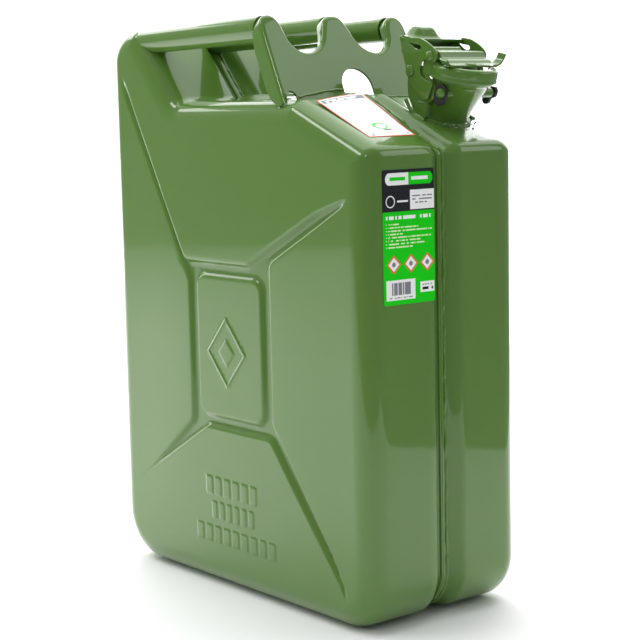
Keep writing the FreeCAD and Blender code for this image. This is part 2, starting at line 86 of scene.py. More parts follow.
class Signal:
    """A shader value that can stand in sums, each operator adding its Math node."""

    def __init__(self, sheet: "NodeSheet", socket: bpy.types.NodeSocket) -> None:
        """Wraps one output socket of a sheet."""
        self.sheet = sheet
        self.socket = socket

    def apply(self, operation: str, other: "Signal | float | None" = None, swapped: bool = False) -> "Signal":
        """Adds a Math node.

        Args:
            operation: name of the Math operation.
            other: second operand, if the operation has one.
            swapped: True puts this value second.

        Returns:
            The result as a new value.
        """
        operands = [self] if other is None else ([other, self] if swapped else [self, other])
        node = self.sheet.node("ShaderNodeMath", {"operation": operation}, dict(enumerate(operands)))
        return Signal(self.sheet, node.outputs[0])

    def __add__(self, other: "Signal | float") -> "Signal":
        """self + other."""
        return self.apply("ADD", other)

    __radd__ = __add__

    def __sub__(self, other: "Signal | float") -> "Signal":
        """self - other."""
        return self.apply("SUBTRACT", other)

    def __rsub__(self, other: float) -> "Signal":
        """other - self."""
        return self.apply("SUBTRACT", other, swapped=True)

    def __mul__(self, other: "Signal | float") -> "Signal":
        """self * other."""
        return self.apply("MULTIPLY", other)

    __rmul__ = __mul__

    def __gt__(self, other: "Signal | float") -> "Signal":
        """1 where self is larger."""
        return self.apply("GREATER_THAN", other)

    def __lt__(self, other: "Signal | float") -> "Signal":
        """1 where self is smaller."""
        return self.apply("LESS_THAN", other)

    def __abs__(self) -> "Signal":
        """Size without sign."""
        return self.apply("ABSOLUTE")

    def floor(self) -> "Signal":
        """Whole part."""
        return self.apply("FLOOR")

    def either(self, other: "Signal") -> "Signal":
        """The larger of two masks."""
        return self.apply("MAXIMUM", other)


class NodeSheet:
    """Node tree of one material."""

    def __init__(self, name: str) -> None:
        """Makes an empty material of that name."""
        self.material = bpy.data.materials.new(name)
        self.material.use_nodes = True
        self.tree = self.material.node_tree
        self.tree.nodes.clear()

    def node(self, kind: str, settings: dict | None = None, inputs: dict | None = None) -> bpy.types.Node:
        """Adds any node.

        Args:
            kind: node type.
            settings: attributes set first; "stops" fills a ramp with (position, colour) pairs.
            inputs: values or links by socket name or number.

        Returns:
            The new node.
        """
        node = self.tree.nodes.new(kind)
        for key, value in (settings or {}).items():
            if key == "stops":
                ramp = node.color_ramp
                while len(ramp.elements) < len(value):
                    ramp.elements.new(0.5)
                for element, (position, colour) in zip(ramp.elements, value):
                    element.position = position
                    element.color = (*colour, 1.0)
            else:
                setattr(node, key, value)
        for key, value in (inputs or {}).items():
            socket = node.inputs[key]
            if isinstance(value, Signal):
                self.tree.links.new(value.socket, socket)
            elif isinstance(value, bpy.types.NodeSocket):
                self.tree.links.new(value, socket)
            elif isinstance(value, tuple) and len(value) == 3 and socket.type == "RGBA":
                socket.default_value = (*value, 1.0)
            else:
                socket.default_value = value
        return node

    def place(self) -> tuple[Signal, Signal, Signal]:
        """Object coordinates in millimetres as three values."""
        coordinates = self.node("ShaderNodeTexCoord")
        scaled = self.node("ShaderNodeVectorMath", {"operation": "SCALE"},
                           {0: coordinates.outputs["Object"], "Scale": 1 / MM})
        split = self.node("ShaderNodeSeparateXYZ", None, {0: scaled.outputs[0]})
        return Signal(self, split.outputs[0]), Signal(self, split.outputs[1]), Signal(self, split.outputs[2])

    def noise(self, scale: float, detail: float = 2.0, stretch: Spot = (1.0, 1.0, 1.0)) -> Signal:
        """Noise on Object coordinates.

        Args:
            scale: cells in each metre.
            detail: octaves.
            stretch: scale along each axis.

        Returns:
            The noise, about 0 to 1.
        """
        coordinates = self.node("ShaderNodeTexCoord")
        mapping = self.node("ShaderNodeMapping", None, {"Vector": coordinates.outputs["Object"], "Scale": stretch})
        texture = self.node("ShaderNodeTexNoise", None,
                            {"Vector": mapping.outputs[0], "Scale": scale, "Detail": detail})
        return Signal(self, texture.outputs[0])

    def mix(self, factor: Signal, first: Spot | bpy.types.NodeSocket, second: Spot) -> bpy.types.NodeSocket:
        """Colour between two colours by a value."""
        node = self.node("ShaderNodeMix", {"data_type": "RGBA"}, {0: factor, 6: first, 7: second})
        return node.outputs[2]

    def bump(self, height: Signal, distance: float) -> bpy.types.NodeSocket:
        """Normal from a height in the given distance, in metres."""
        node = self.node("ShaderNodeBump", None, {"Strength": 1.0, "Distance": distance, "Height": height})
        return node.outputs[0]

    def finish(self, inputs: dict) -> bpy.types.Material:
        """Ends the sheet in one Principled shader with these inputs."""
        shader = self.node("ShaderNodeBsdfPrincipled", None, inputs)
        self.node("ShaderNodeOutputMaterial", None, {"Surface": shader.outputs[0]})
        return self.material


# ---------------------------------------------------------------- finishes

@dataclass(frozen=True)
class GreenEnamel:
    """Glossy olive enamel, a little uneven, with orange peel and soft press marks."""

    colour: Spot = (0.098, 0.205, 0.032)
    deep: Spot = (0.085, 0.185, 0.026)
    gloss: float = 0.30
    wave: float = 0.00035

    def build(self) -> bpy.types.Material:
        """Makes the material."""
        sheet = NodeSheet(Slot.ENAMEL.value)
        clouds = sheet.noise(9.0, 3.0)
        grain = sheet.noise(160.0, 2.0)
        colour = sheet.mix(clouds * 0.7 + grain * 0.15, self.deep, self.colour)
        peel = sheet.noise(520.0, 1.0)
        waves = sheet.noise(17.0, 1.5, (1.0, 1.0, 1.6))
        height = waves + peel * 0.022
        return sheet.finish({
            "Base Color": colour, "Roughness": grain * 0.06 + (self.gloss - 0.03),
            "Coat Weight": 1.0, "Coat Roughness": 0.05, "Specular IOR Level": 0.12,
            "Normal": sheet.bump(height, self.wave),
        })


@dataclass(frozen=True)
class MouldedPlastic:
    """Satin black moulded plastic with a fine grain."""

    name: str = Slot.PLASTIC.value
    colour: Spot = (0.010, 0.011, 0.012)
    roughness: float = 0.42
    grain_scale: float = 1500.0

    def build(self) -> bpy.types.Material:
        """Makes the material."""
        sheet = NodeSheet(self.name)
        grain = sheet.noise(self.grain_scale, 2.0)
        patches = sheet.noise(90.0, 2.0)
        lighter = tuple(channel * 2.2 for channel in self.colour)
        return sheet.finish({
            "Base Color": sheet.mix(patches, self.colour, lighter),
            "Roughness": patches * 0.12 + (self.roughness - 0.06),
            "Normal": sheet.bump(grain, 0.00005),
        })


@dataclass(frozen=True)
class FilmInks:
    """Inks of the printed labels."""

    white: Spot = (0.93, 0.93, 0.92)
    black: Spot = (0.012, 0.013, 0.016)
    green: Spot = (0.001, 0.64, 0.002)
    orange: Spot = (0.80, 0.11, 0.03)
    grey: Spot = (0.22, 0.23, 0.25)
    cream: Spot = (0.80, 0.90, 0.55)


class Film:
    """Glossy label film printed with plain shapes over two surface directions."""

    def __init__(self, name: str, across: Callable[[NodeSheet], Signal], up: Callable[[NodeSheet], Signal]) -> None:
        """Starts a film.

        Args:
            name: material name.
            across: gives the value that runs 0 to 1 across the film.
            up: gives the value that runs 0 to 1 up the film.
        """
        self.sheet = NodeSheet(name)
        self.u = across(self.sheet)
        self.v = up(self.sheet)
        self.colour: bpy.types.NodeSocket | Spot = (0.9, 0.9, 0.9)

    def box(self, u0: float, u1: float, v0: float, v1: float) -> Signal:
        """Mask of a rectangle."""
        return (self.u > u0) * (self.u < u1) * (self.v > v0) * (self.v < v1)

    def lozenge(self, u: float, v: float, half_u: float, half_v: float) -> Signal:
        """Mask of a lozenge round a centre."""
        return (abs(self.u - u) * (1 / half_u) + abs(self.v - v) * (1 / half_v)) < 1.0

    def oval(self, u: float, v: float, half_u: float, half_v: float) -> Signal:
        """Mask of an ellipse round a centre."""
        across = (self.u - u) * (1 / half_u)
        up = (self.v - v) * (1 / half_v)
        return (across * across + up * up) < 1.0

    def dashes(self, u0: float, u1: float, v: float, thickness: float, pitch: float, seed: float) -> Signal:
        """Mask of a row of uneven plain dashes."""
        cell = (self.u * (1 / pitch) + seed).floor()
        chance = self.sheet.node("ShaderNodeTexWhiteNoise", {"noise_dimensions": "1D"}, {"W": cell + seed * 3.7})
        return self.box(u0, u1, v - thickness / 2, v + thickness / 2) * (Signal(self.sheet, chance.outputs[0]) > 0.22)

    def print(self, mask: Signal, ink: Spot) -> None:
        """Lays an ink over what is there."""
        self.colour = self.sheet.mix(mask, self.colour, ink)

    def build(self) -> bpy.types.Material:
        """Ends the film in its shader."""
        fibre = self.sheet.noise(700.0, 2.0)
        return self.sheet.finish({
            "Base Color": self.colour, "Roughness": fibre * 0.10 + 0.24,
            "Coat Weight": 0.12, "Coat Roughness": 0.08, "Specular IOR Level": 0.25,
            "Normal": self.sheet.bump(fibre, 0.00002),
        })


# ---------------------------------------------------------------- mesh helpers

@dataclass
class Solid:
    """Vertices and faces of one piece, in millimetres."""

    points: list[Spot] = field(default_factory=list)
    faces: list[tuple[int, ...]] = field(default_factory=list)

    def add(self, points: Iterable[Sequence[float]], faces: Iterable[Sequence[int]]) -> None:
        """Adds points and the faces between them."""
        start = len(self.points)
        self.points.extend(tuple(float(c) for c in point) for point in points)
        self.faces.extend(tuple(start + i for i in face) for face in faces)

    def merge(self, other: "Solid", place: Callable[[Spot], Spot] | None = None) -> "Solid":
        """Adds another solid, moved by place, and returns this one."""
        moved = other.points if place is None else [place(point) for point in other.points]
        self.add(moved, other.faces)
        return self

    def mesh(self, name: str) -> bpy.types.Mesh:
        """Metre mesh with doubles merged and faces outwards."""
        mesh = bpy.data.meshes.new(name)
        mesh.from_pydata([tuple(c * MM for c in point) for point in self.points], [], self.faces)
        work = bmesh.new()
        work.from_mesh(mesh)
        bmesh.ops.remove_doubles(work, verts=work.verts, dist=2e-6)
        bmesh.ops.dissolve_degenerate(work, edges=work.edges, dist=1e-7)
        bmesh.ops.recalc_face_normals(work, faces=work.faces)
        work.to_mesh(mesh)
        work.free()
        mesh.update()
        return mesh


def freeze(piece: bpy.types.Object) -> None:
    """Turns a piece with modifiers into a plain mesh."""
    graph = bpy.context.evaluated_depsgraph_get()
    mesh = bpy.data.meshes.new_from_object(piece.evaluated_get(graph), preserve_all_data_layers=True, depsgraph=graph)
    piece.modifiers.clear()
    piece.data = mesh


def dress(piece: bpy.types.Object, finish: bpy.types.Material, slot: Slot, body: Body, *nodes: str) -> bpy.types.Object:
    """Gives a piece its finish and its place in the frame.

    Args:
        piece: the finished object.
        finish: its material.
        slot: record slot of the finish; not used.
        body: body that it rides on.
        nodes: CAD nodes that it stands for.

    Returns:
        The piece.
    """
    piece.data.materials.clear()
    piece.data.materials.append(finish)
    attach(piece, body.value)
    if nodes:
        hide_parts(*nodes)
    log.info("%s: %d faces on %s", piece.name, len(piece.data.polygons), body.value)
    return piece


def make_piece(name: str, solid: Solid, crease: float = 38.0, even: bool = True) -> bpy.types.Object:
    """Object from a solid.

    Args:
        name: object name.
        solid: its shape.
        crease: angle in degrees above which an edge stays sharp.
        even: True lets large faces rule the shading.

    Returns:
        The linked object at the origin.
    """
    piece = bpy.data.objects.new(name, solid.mesh(name))
    bpy.context.scene.collection.objects.link(piece)
    shade(piece, crease, even)
    return piece


def shade(piece: bpy.types.Object, crease: float, even: bool) -> None:
    """Smooth shading that breaks at creases."""
    piece.data.shade_smooth()
    piece.data.set_sharp_from_angle(angle=math.radians(crease))
    if even:
        weighted = piece.modifiers.new("weighted", "WEIGHTED_NORMAL")
        weighted.keep_sharp = True
        freeze(piece)


def smooth_loop(points: Sequence[Flat], cut: float, steps: int = 5) -> Loop:
    """Polygon with its corners turned into short curves.

    Args:
        points: corners.
        cut: how far each curve reaches along its sides.
        steps: spans in each curve.

    Returns:
        The rounded loop.
    """
    loop: Loop = []
    count = len(points)
    for i in range(count):
        here = Vector(points[i])
        back = Vector(points[i - 1]) - here
        ahead = Vector(points[(i + 1) % count]) - here
        reach = min(cut, back.length * 0.46, ahead.length * 0.46)
        start = here + back.normalized() * reach
        end = here + ahead.normalized() * reach
        for k in range(steps + 1):
            t = k / steps
            spot = start * (1 - t) ** 2 + here * (2 * t * (1 - t)) + end * t ** 2
            loop.append((spot.x, spot.y))
    return loop


def flowing(points: Sequence[Sequence[float]], steps: int = 6) -> list[tuple[float, ...]]:
    """Smooth open curve through points."""
    spots = [np.array(p, float) for p in points]
    spots = [2 * spots[0] - spots[1]] + spots + [2 * spots[-1] - spots[-2]]
    curve = []
    for a, b, c, d in zip(spots, spots[1:], spots[2:], spots[3:]):
        for k in range(steps):
            t = k / steps
            curve.append(tuple(0.5 * (2 * b + (c - a) * t + (2 * a - 5 * b + 4 * c - d) * t ** 2
                                      + (3 * b - a - 3 * c + d) * t ** 3)))
    return curve + [tuple(spots[-2])]


def round_hole(u: float, v: float, radius: float, steps: int = 20) -> Loop:
    """Clockwise circle for a hole."""
    return [(u + radius * math.cos(-2 * math.pi * k / steps), v + radius * math.sin(-2 * math.pi * k / steps))
            for k in range(steps)]


def area(loop: Sequence[Flat]) -> float:
    """Signed area of a loop."""
    return 0.5 * sum(a[0] * b[1] - b[0] * a[1] for a, b in zip(loop, [*loop[1:], loop[0]]))


def shifted(loop: Sequence[Flat], distance: float) -> Loop:
    """Closed loop moved to its left side by a small distance."""
    count = len(loop)
    result: Loop = []
    for i in range(count):
        here = Vector(loop[i])
        first = (here - Vector(loop[i - 1])).normalized()
        second = (Vector(loop[(i + 1) % count]) - here).normalized()
        normal = Vector((-first.y - second.y, first.x + second.x))
        if normal.length < 1e-6:
            normal = Vector((-first.y, first.x))
        normal.normalize()
        stretch = 1 / max(0.5, normal.dot(Vector((-first.y, first.x))))
        result.append((here.x + normal.x * distance * stretch, here.y + normal.y * distance * stretch))
    return result


def plate(outline: Loop, holes: Sequence[Loop], low: float, high: float, edge: float = 0.5, steps: int = 3) -> Solid:
    """Plate with rounded rims.

    Args:
        outline: outer loop.
        holes: inner loops.
        low: lower face.
        high: upper face.
        edge: radius of the rims.
        steps: spans in each rim.

    Returns:
        The plate in (u, v, w), w across the sheet.
    """
    loops = [outline if area(outline) > 0 else outline[::-1]]
    loops += [hole if area(hole) < 0 else hole[::-1] for hole in holes]
    rows = []
    for k in range(steps + 1):
        turn = math.pi / 2 * k / steps
        rows.append((edge * (1 - math.sin(turn)), low + edge * (1 - math.cos(turn))))
    rows += [(inset, high + low - w) for inset, w in reversed(rows)]
    solid = Solid()
    rims = []
    for loop in loops:
        count = len(loop)
        points = []
        for inset, w in rows:
            points += [(u, v, w) for u, v in shifted(loop, inset)]
        faces = []
        for r in range(len(rows) - 1):
            for i in range(count):
                j = (i + 1) % count
                faces.append((r * count + i, r * count + j, (r + 1) * count + j, (r + 1) * count + i))
        start = len(solid.points)
        solid.add(points, faces)
        rims.append((start, start + (len(rows) - 1) * count, count))
    for which in (0, 1):
        indices = [start + i for low_start, high_start, count in rims
                   for start in ((low_start, high_start)[which],) for i in range(count)]
        rings = [[Vector(solid.points[(a, b)[which] + i]) for i in range(count)] for a, b, count in rims]
        for face in tessellate_polygon(rings):
            corners = [indices[i] for i in face]
            size = area([solid.points[i][:2] for i in corners])
            if abs(size) > 1e-9:
                solid.faces.append(tuple(corners if (size > 0) == (which == 1) else corners[::-1]))
    return solid


def lathe(profile: Sequence[Flat], steps: int = 48) -> Solid:
    """Closed turned shape from (radius, height) points; ends on the axis close to one point."""
    solid = Solid()
    rows = []
    for radius, height in profile:
        start = len(solid.points)
        if radius < 1e-6:
            solid.points.append((0.0, 0.0, height))
            rows.append([start] * steps)
        else:
            for k in range(steps):
                turn = 2 * math.pi * k / steps
                solid.points.append((radius * math.cos(turn), radius * math.sin(turn), height))
            rows.append([start + k for k in range(steps)])
    for low, high in zip(rows, rows[1:]):
        for k in range(steps):
            j = (k + 1) % steps
            face = [low[k], low[j], high[j], high[k]]
            face = [index for n, index in enumerate(face) if index not in face[:n]]
            if len(face) > 2:
                solid.faces.append(tuple(face))
    return solid


def loft(rings: Sequence[Sequence[Spot]], closed: bool = False) -> Solid:
    """Skin over rings of equal count; closed joins the last ring to the first, otherwise ends are filled."""
    solid = Solid()
    count = len(rings[0])
    for ring in rings:
        solid.points.extend(tuple(point) for point in ring)
    spans = len(rings) if closed else len(rings) - 1
    for r in range(spans):
        a, b = r * count, ((r + 1) % len(rings)) * count
        for i in range(count):
            j = (i + 1) % count
            solid.faces.append((a + i, a + j, b + j, b + i))
    if not closed:
        solid.faces.append(tuple(range(count))[::-1])
        solid.faces.append(tuple((len(rings) - 1) * count + i for i in range(count)))
    return solid


def ease(value: np.ndarray) -> np.ndarray:
    """Smooth step of values clipped to 0 and 1."""
    clipped = np.clip(value, 0.0, 1.0)
    return clipped * clipped * (3 - 2 * clipped)


def inset_corners(corners: Sequence[Spot], inset: float) -> list[Spot]:
    """Corners (x, z, radius) moved inwards with parallel sides.

    Args:
        corners: anticlockwise corners.
        inset: distance to move each side.

    Returns:
        The new corners.
    """
    count = len(corners)
    lines = []
    for i in range(count):
        x0, z0, _ = corners[i]
        x1, z1, _ = corners[(i + 1) % count]
        length = math.hypot(x1 - x0, z1 - z0)
        nx, nz = -(z1 - z0) / length, (x1 - x0) / length
        lines.append((nx, nz, nx * x0 + nz * z0 + inset))
    result = []
    for i in range(count):
        a0, b0, c0 = lines[i - 1]
        a1, b1, c1 = lines[i]
        det = a0 * b1 - a1 * b0
        radius = max(corners[i][2] - inset, 2.0) if det > 0 else corners[i][2] + inset
        result.append(((c0 * b1 - c1 * b0) / det, (a0 * c1 - a1 * c0) / det, radius))
    return result


def polygon_distance(x: np.ndarray, z: np.ndarray, corners: Sequence[Flat]) -> np.ndarray:
    """Distance from points to a polygon, negative inside it."""
    best = np.full(x.shape, 1e9)
    inside = np.zeros(x.shape, bool)
    for (x0, z0), (x1, z1) in zip(corners, [*corners[1:], corners[0]]):
        ex, ez = x1 - x0, z1 - z0
        t = np.clip(((x - x0) * ex + (z - z0) * ez) / (ex * ex + ez * ez), 0, 1)
        best = np.minimum(best, np.hypot(x - x0 - ex * t, z - z0 - ez * t))
        if ez != 0:
            crosses = (z0 > z) != (z1 > z)
            inside ^= crosses & (x < x0 + (z - z0) * ex / ez)
    return np.where(inside, -best, best)


# ---------------------------------------------------------------- path beads

class BeadTree:
    """Geometry Nodes tree that runs an uneven bead along an edge path."""

    def __init__(self, name: str, finish: bpy.types.Material) -> None:
        """Builds the tree.

        Args:
            name: tree name.
            finish: material of the bead.
        """
        self.tree = bpy.data.node_groups.new(name, "GeometryNodeTree")
        face = self.tree.interface
        face.new_socket(name="Geometry", in_out="INPUT", socket_type="NodeSocketGeometry")
        face.new_socket(name="Geometry", in_out="OUTPUT", socket_type="NodeSocketGeometry")
        self.names: dict[str, str] = {}
        for label in ("Bead Radius", "Pitch", "Wander", "Swelling", "Ripple Scale"):
            self.names[label] = face.new_socket(name=label, in_out="INPUT", socket_type="NodeSocketFloat").identifier
        add = self.node
        start = add("NodeGroupInput")
        curve = add("GeometryNodeMeshToCurve", {"Mesh": start.outputs["Geometry"]})
        even = add("GeometryNodeResampleCurve", {"Curve": curve.outputs[0], "Length": start.outputs["Pitch"]},
                   mode="LENGTH")
        noise = add("ShaderNodeTexNoise", {"Scale": start.outputs["Ripple Scale"], "Detail": 2.0})
        centred = add("ShaderNodeVectorMath", {0: noise.outputs[1], 1: (0.5, 0.5, 0.5)}, operation="SUBTRACT")
        wander = add("ShaderNodeVectorMath", {0: centred.outputs[0], "Scale": start.outputs["Wander"]},
                     operation="SCALE")
        moved = add("GeometryNodeSetPosition", {"Geometry": even.outputs[0], "Offset": wander.outputs[0]})
        swell = add("ShaderNodeMath", {0: noise.outputs[0], 1: start.outputs["Swelling"]}, operation="MULTIPLY")
        thick = add("ShaderNodeMath", {0: swell.outputs[0], 1: 0.6}, operation="ADD")
        sized = add("GeometryNodeSetCurveRadius", {"Curve": moved.outputs[0], "Radius": thick.outputs[0]})
        ring = add("GeometryNodeCurvePrimitiveCircle", {"Resolution": 8, "Radius": start.outputs["Bead Radius"]})
        skin = add("GeometryNodeCurveToMesh",
                   {"Curve": sized.outputs[0], "Profile Curve": ring.outputs[0], "Fill Caps": True})
        if "Scale" in skin.inputs:
            self.tree.links.new(thick.outputs[0], skin.inputs["Scale"])
        smooth = add("GeometryNodeSetShadeSmooth", {"Geometry": skin.outputs[0]})
        real = add("GeometryNodeRealizeInstances", {"Geometry": smooth.outputs[0]})
        dressed = add("GeometryNodeSetMaterial", {"Geometry": real.outputs[0], "Material": finish})
        add("NodeGroupOutput", {"Geometry": dressed.outputs[0]})

    def node(self, kind: str, inputs: dict | None = None, **settings: str) -> bpy.types.Node:
        """Adds a node with its settings, then its values or links."""
        node = self.tree.nodes.new(kind)
        for key, value in settings.items():
            setattr(node, key, value)
        for key, value in (inputs or {}).items():
            if isinstance(value, bpy.types.NodeSocket):
                self.tree.links.new(value, node.inputs[key])
            else:
                node.inputs[key].default_value = value
        return node

    def run(self, name: str, path: Sequence[Spot], sizes: dict[str, float], loop: bool) -> bpy.types.Object:
        """Lays one bead.

        Args:
            name: object name.
            path: points in millimetres.
            sizes: tree inputs by name, lengths in millimetres.
            loop: True joins the end to the start.

        Returns:
            The bead as a plain mesh object.
        """
        count = len(path)
        edges = [(i, (i + 1) % count) for i in range(count if loop else count - 1)]
        mesh = bpy.data.meshes.new(name)
        mesh.from_pydata([tuple(c * MM for c in point) for point in path], edges, [])
        piece = bpy.data.objects.new(name, mesh)
        bpy.context.scene.collection.objects.link(piece)
        modifier = piece.modifiers.new("bead", "NODES")
        modifier.node_group = self.tree
        for label, value in sizes.items():
            scale = MM if label in ("Bead Radius", "Pitch", "Wander") else 1.0
            modifier[self.names[label]] = value * scale
        freeze(piece)
        return piece


class SpatterTree:
    """Geometry Nodes tree that drops weld spatter in a ring."""

    def __init__(self, finish: bpy.types.Material) -> None:
        """Builds the tree with its fixed seed."""
        self.tree = bpy.data.node_groups.new("weld_spatter", "GeometryNodeTree")
        face = self.tree.interface
        face.new_socket(name="Geometry", in_out="INPUT", socket_type="NodeSocketGeometry")
        face.new_socket(name="Geometry", in_out="OUTPUT", socket_type="NodeSocketGeometry")
        self.radius = face.new_socket(name="Ring Radius", in_out="INPUT", socket_type="NodeSocketFloat").identifier
        self.drop = face.new_socket(name="Drop Size", in_out="INPUT", socket_type="NodeSocketFloat").identifier
        new = self.tree.nodes.new
        link = self.tree.links.new
        start, end = new("NodeGroupInput"), new("NodeGroupOutput")
        ring = new("GeometryNodeCurvePrimitiveCircle")
        ring.inputs["Resolution"].default_value = 64
        link(start.outputs["Ring Radius"], ring.inputs["Radius"])
        points = new("GeometryNodeCurveToPoints")
        points.inputs["Count"].default_value = 58
        link(ring.outputs[0], points.inputs["Curve"])
        scatter = new("FunctionNodeRandomValue")
        scatter.data_type = "FLOAT_VECTOR"
        scatter.inputs["Min"].default_value = (-0.0042, -0.0042, 0.0)
        scatter.inputs["Max"].default_value = (0.0042, 0.0042, 0.0002)
        scatter.inputs["Seed"].default_value = 7
        moved = new("GeometryNodeSetPosition")
        link(points.outputs[0], moved.inputs["Geometry"])
        link(scatter.outputs["Value"], moved.inputs["Offset"])
        ball = new("GeometryNodeMeshIcoSphere")
        ball.inputs["Subdivisions"].default_value = 2
        link(start.outputs["Drop Size"], ball.inputs["Radius"])
        scale = new("FunctionNodeRandomValue")
        scale.data_type = "FLOAT"
        scale.inputs[2].default_value = 0.35
        scale.inputs[3].default_value = 1.0
        scale.inputs["Seed"].default_value = 11
        drops = new("GeometryNodeInstanceOnPoints")
        link(moved.outputs[0], drops.inputs["Points"])
        link(ball.outputs[0], drops.inputs["Instance"])
        link(scale.outputs[1], drops.inputs["Scale"])
        real = new("GeometryNodeRealizeInstances")
        link(drops.outputs[0], real.inputs[0])
        smooth = new("GeometryNodeSetShadeSmooth")
        link(real.outputs[0], smooth.inputs[0])
        dressed = new("GeometryNodeSetMaterial")
        dressed.inputs["Material"].default_value = finish
        link(smooth.outputs[0], dressed.inputs[0])
        link(dressed.outputs[0], end.inputs[0])

    def run(self, name: str, radius: float, drop: float, place: Matrix) -> bpy.types.Object:
        """Drops one ring of spatter.

        Args:
            name: object name.
            radius: ring radius in millimetres.
            drop: size of the largest drop in millimetres.
            place: matrix from the ring's plane to the can.

        Returns:
            The spatter as a plain mesh object.
        """
        piece = bpy.data.objects.new(name, bpy.data.meshes.new(name))
        bpy.context.scene.collection.objects.link(piece)
        modifier = piece.modifiers.new("spatter", "NODES")
        modifier.node_group = self.tree
        modifier[self.radius] = radius * MM
        modifier[self.drop] = drop * MM
        freeze(piece)
        piece.data.transform(place)
        return piece


# ---------------------------------------------------------------- pressed halves

@dataclass
class CanProfile:
    """Side profile of the can and the rings that run parallel to it."""

    half_length: float = 172.5
    height: float = 467.0
    shoulder_front: float = 367.0
    crest_x: float = 84.0
    recess_floor: float = 404.0
    recess_rear: float = -75.0
    hump_peak: float = -130.0
    arc_steps: int = 12
    span: float = 9.0
    crown: float = 6.8
    crown_reach: Flat = (64.0, 23.0)
    crown_rear: Flat = (-80.0, -55.0)
    crown_front: Flat = (158.0, 80.0)

    def corners(self) -> list[Spot]:
        """Corners (x, z, radius), anticlockwise from the rear foot."""
        return [
            (-self.half_length, 0.0, 45.0), (self.half_length, 0.0, 38.0),
            (self.half_length, self.shoulder_front, 12.0), (self.crest_x, self.recess_floor, 14.0),
            (self.recess_rear, self.recess_floor, 14.0), (self.hump_peak, self.height, 12.0),
            (-self.half_length, self.height, 30.0),
        ]

    def tangents(self, inset: float) -> list[tuple[Vector, Vector, Vector, float]]:
        """For each corner: arc start, arc end, arc centre and radius."""
        corners = inset_corners(self.corners(), inset)
        count = len(corners)
        result = []
        for i, (x, z, radius) in enumerate(corners):
            here = Vector((x, z))
            back = (Vector(corners[i - 1][:2]) - here).normalized()
            ahead = (Vector(corners[(i + 1) % count][:2]) - here).normalized()
            half = back.angle(ahead) / 2
            reach = radius / math.tan(half)
            centre = here + (back + ahead).normalized() * (radius / math.sin(half))
            result.append((here + back * reach, here + ahead * reach, centre, radius))
        return result

    def ring(self, inset: float) -> Loop:
        """Loop of (x, z) at an inset; every inset gives the same number of points."""
        base = self.tangents(0.0)
        here = self.tangents(inset)
        count = len(base)
        loop: Loop = []
        for i in range(count):
            start, end, centre, radius = here[i]
            first, last = start - centre, end - centre
            turn = first.angle_signed(last)
            for k in range(self.arc_steps + 1):
                angle = -turn * k / self.arc_steps
                cos, sin = math.cos(angle), math.sin(angle)
                loop.append((centre.x + first.x * cos - first.y * sin, centre.y + first.x * sin + first.y * cos))
            spans = max(2, round((base[(i + 1) % count][0] - base[i][1]).length / self.span))
            for k in range(1, spans):
                spot = end.lerp(here[(i + 1) % count][0], k / spans)
                loop.append((spot.x, spot.y))
        return loop

    def shoulder_height(self, x: float) -> float:
        """Height of the shoulder slope at x."""
        fall = (self.recess_floor - self.shoulder_front) / (self.half_length - self.crest_x)
        return self.recess_floor - (x - self.crest_x) * fall

    def lift(self, x: float, y: float) -> float:
        """How far the crowned top rises over its side profile at (x, y)."""
        across = max(0.0, 1 - (y / self.crown_reach[y > 0]) ** 2)
        rear = (x - self.crown_rear[0]) / (self.crown_rear[1] - self.crown_rear[0])
        front = (self.crown_front[0] - x) / (self.crown_front[0] - self.crown_front[1])
        return self.crown * across * float(ease(np.array(rear)) * ease(np.array(front)))

    def top_height(self, x: float, y: float) -> float:
        """Height of the crowned floor and shoulder at (x, y)."""
        return min(self.recess_floor, self.shoulder_height(x)) + self.lift(x, y)

    def shoulder_normal(self) -> Vector:
        """Outward direction of the shoulder slope."""
        return Vector((self.recess_floor - self.shoulder_front, 0, self.half_length - self.crest_x)).normalized()


